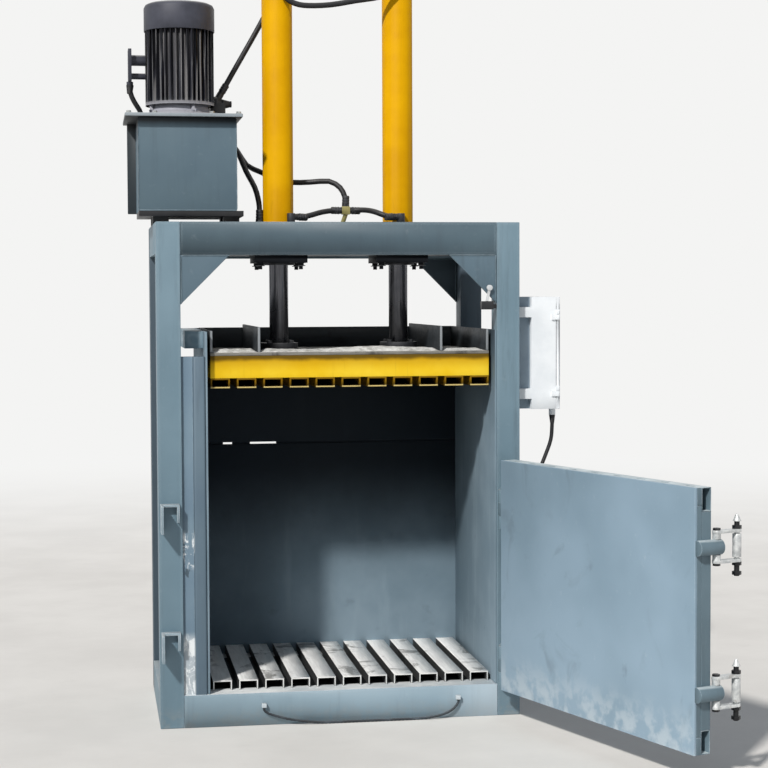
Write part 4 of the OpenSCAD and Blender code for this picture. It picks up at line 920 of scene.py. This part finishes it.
def dust_mound():
    """Loose dust and scraps lying along the front of the platen's deck."""
    low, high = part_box("platen_deck")
    bm = bmesh.new()
    columns, rows = 150, 22
    ribs, most_rise = (-0.309, 0.401), 0.02
    x0, x1, y0, y1 = low.x + 0.012, high.x - 0.012, low.y + 0.004, low.y + 0.175
    grid = []
    for i in range(columns + 1):
        line = []
        for j in range(rows + 1):
            u, v = i / columns, j / rows
            x, y = x0 + (x1 - x0) * u, y0 + (y1 - y0) * v
            rise = math.sin(min(1.0, v * 2.6) * math.pi / 2) * (1 - max(0.0, (v - 0.35) / 0.65)) ** 1.3
            lump = 0.6 + 0.75 * noise.noise(Vector((x * 3.2, y * 4, 3.1)))
            lump += 0.12 * noise.noise(Vector((x * 31, y * 31, 8.2)))
            near = min(1.0, (x - x0) / 0.03, (x1 - x) / 0.03)
            for rib in ribs:
                near = min(near, max(0.0, (abs(x - rib) - 0.006) / 0.02))
            rise = most_rise * rise * max(0.15, lump) * max(0.02, near)
            line.append(bm.verts.new((x, y, high.z + 0.0006 + rise)))
        grid.append(line)
    for i in range(columns):
        for j in range(rows):
            bm.faces.new((grid[i][j], grid[i + 1][j], grid[i + 1][j + 1], grid[i][j + 1]))
    border = [g[0] for g in grid] + grid[-1][1:] + [g[-1] for g in grid[-2::-1]] + grid[0][-2:0:-1]
    skirt = [bm.verts.new((v.co.x, v.co.y, high.z + 0.0002)) for v in border]
    for a, b, c, d in zip(border, border[1:] + border[:1], skirt[1:] + skirt[:1], skirt):
        bm.faces.new((a, b, c, d))
    bm.faces.new(skirt)
    add_piece("platen_dust", bm, DUST, "platen")


def door_details():
    """Weld beads along the door's back and round its bosses, in the door's own open place."""
    pivot, opened = Vector((0.630, -0.438, 0)), 110
    low, high, rail = 0.115, 1.008, 0.082
    swing = Matrix.Rotation(math.radians(opened), 4, "Z")
    turn = Matrix.Translation(pivot) @ swing @ Matrix.Translation(-pivot)
    bm = bmesh.new()
    seed = 60
    for x in (-0.572, 0.602):
        for z in (low + rail, high - rail):
            bead(bm, (x, -0.4725, z), (x - math.copysign(0.058, x), -0.4725, z), 0.0026, seed)
            seed += 1
    for z in (low + 0.0005, high - 0.0005):
        for k in range(9):
            x = -0.54 + k * 0.135
            bead(bm, (x, -0.4322, z), (x + 0.05, -0.4322, z), 0.0024, seed)
            seed += 1
    for z in (0.330, 0.412, 0.560, 0.642):
        for x in (-0.514, 0.544):
            bead(bm, (x, -0.470, z), (x, -0.434, z), 0.0024, seed)
            seed += 1
    bmesh.ops.transform(bm, matrix=turn, verts=bm.verts)
    add_piece("door_welds", bm, DOOR_FRAME, "door")


frame_welds()
ram_details()
tank_details()
valve_details()
cabinet_mounts()
dust_mound()
door_details()


# ---------------------------------------------------------------- floor and light
FLOOR_REACH, FLOOR_DROP = 40, 0.0005
SUN_FROM, SUN_STRENGTH, SUN_WIDTH = (-0.714, -1.0, 1.015), 3.2, 4
SUN_COLOUR, SKY_COLOUR, SKY_STRENGTH = (1.0, 0.975, 0.94), (0.84, 0.90, 1.0, 1), 0.36


def direct_rays(tree):
    """1 for rays that meet a surface straight from the camera, in a mirror or through glass."""
    rays = tree.nodes.new("ShaderNodeLightPath")
    seen = rays.outputs["Is Camera Ray"]
    for kind in ("Is Glossy Ray", "Is Transmission Ray"):
        either = tree.nodes.new("ShaderNodeMath")
        either.operation = "MAXIMUM"
        tree.links.new(seen, either.inputs[0])
        tree.links.new(rays.outputs[kind], either.inputs[1])
        seen = either.outputs[0]
    return seen


def add_floor():
    """A pale floor that runs out into the backdrop's colour."""
    mesh = bpy.data.meshes.new("floor")
    r = FLOOR_REACH
    mesh.from_pydata([(-r, -r, 0), (r, -r, 0), (r, r, 0), (-r, r, 0)], [], [(0, 1, 2, 3)])
    floor = bpy.data.objects.new("floor", mesh)
    floor.location = (0, 0, -FLOOR_DROP)
    scene.collection.objects.link(floor)
    g = Graph("floor_screed")
    shade = g.mix(g.span(g.noise(1.3, 5, 0.6), 0.3, 0.7), linear("dcd9d4"), linear("e6e3de"))
    shade = g.mix(g.times(g.span(g.noise(8, 4), 0.6, 0.8), 0.15), shade, linear("c9c5be"))
    g.bump(g.noise(60, 3), 0.05, 0.001)
    g.finish(shade, 0.85, level=0.2)
    length = g.tree.nodes.new("ShaderNodeVectorMath")
    length.operation = "LENGTH"
    g.feed(length.inputs[0], g.place)
    far = g.span(length.outputs["Value"], 3.0, 11.0)
    glow = g.tree.nodes.new("ShaderNodeEmission")
    glow.inputs["Color"].default_value = linear(BACKDROP)
    mixer = g.tree.nodes.new("ShaderNodeMixShader")
    g.feed(mixer.inputs[0], g.times(far, direct_rays(g.tree)))
    g.feed(mixer.inputs[1], g.shader.outputs[0])
    g.feed(mixer.inputs[2], glow.outputs[0])
    g.feed(g.tree.nodes["Material Output"].inputs["Surface"], mixer.outputs[0])
    mesh.materials.append(g.material)


def add_light():
    """A soft sun from the left of the camera, and a pale sky that shows as the backdrop's colour."""
    sun = bpy.data.lights.new("key", "SUN")
    sun.energy = SUN_STRENGTH
    sun.angle = math.radians(SUN_WIDTH)
    sun.color = SUN_COLOUR
    lamp = bpy.data.objects.new("key", sun)
    lamp.matrix_world = Vector(SUN_FROM).to_track_quat("Z", "Y").to_matrix().to_4x4()
    scene.collection.objects.link(lamp)
    world = bpy.data.worlds.new("studio")
    scene.world = world
    world.use_nodes = True
    tree = world.node_tree
    light = tree.nodes["Background"]
    light.inputs["Color"].default_value = SKY_COLOUR
    light.inputs["Strength"].default_value = SKY_STRENGTH
    seen = tree.nodes.new("ShaderNodeBackground")
    seen.inputs["Color"].default_value = linear(BACKDROP)
    mixer = tree.nodes.new("ShaderNodeMixShader")
    tree.links.new(direct_rays(tree), mixer.inputs[0])
    tree.links.new(light.outputs[0], mixer.inputs[1])
    tree.links.new(seen.outputs[0], mixer.inputs[2])
    tree.links.new(mixer.outputs[0], tree.nodes["World Output"].inputs["Surface"])


add_floor()
add_light()
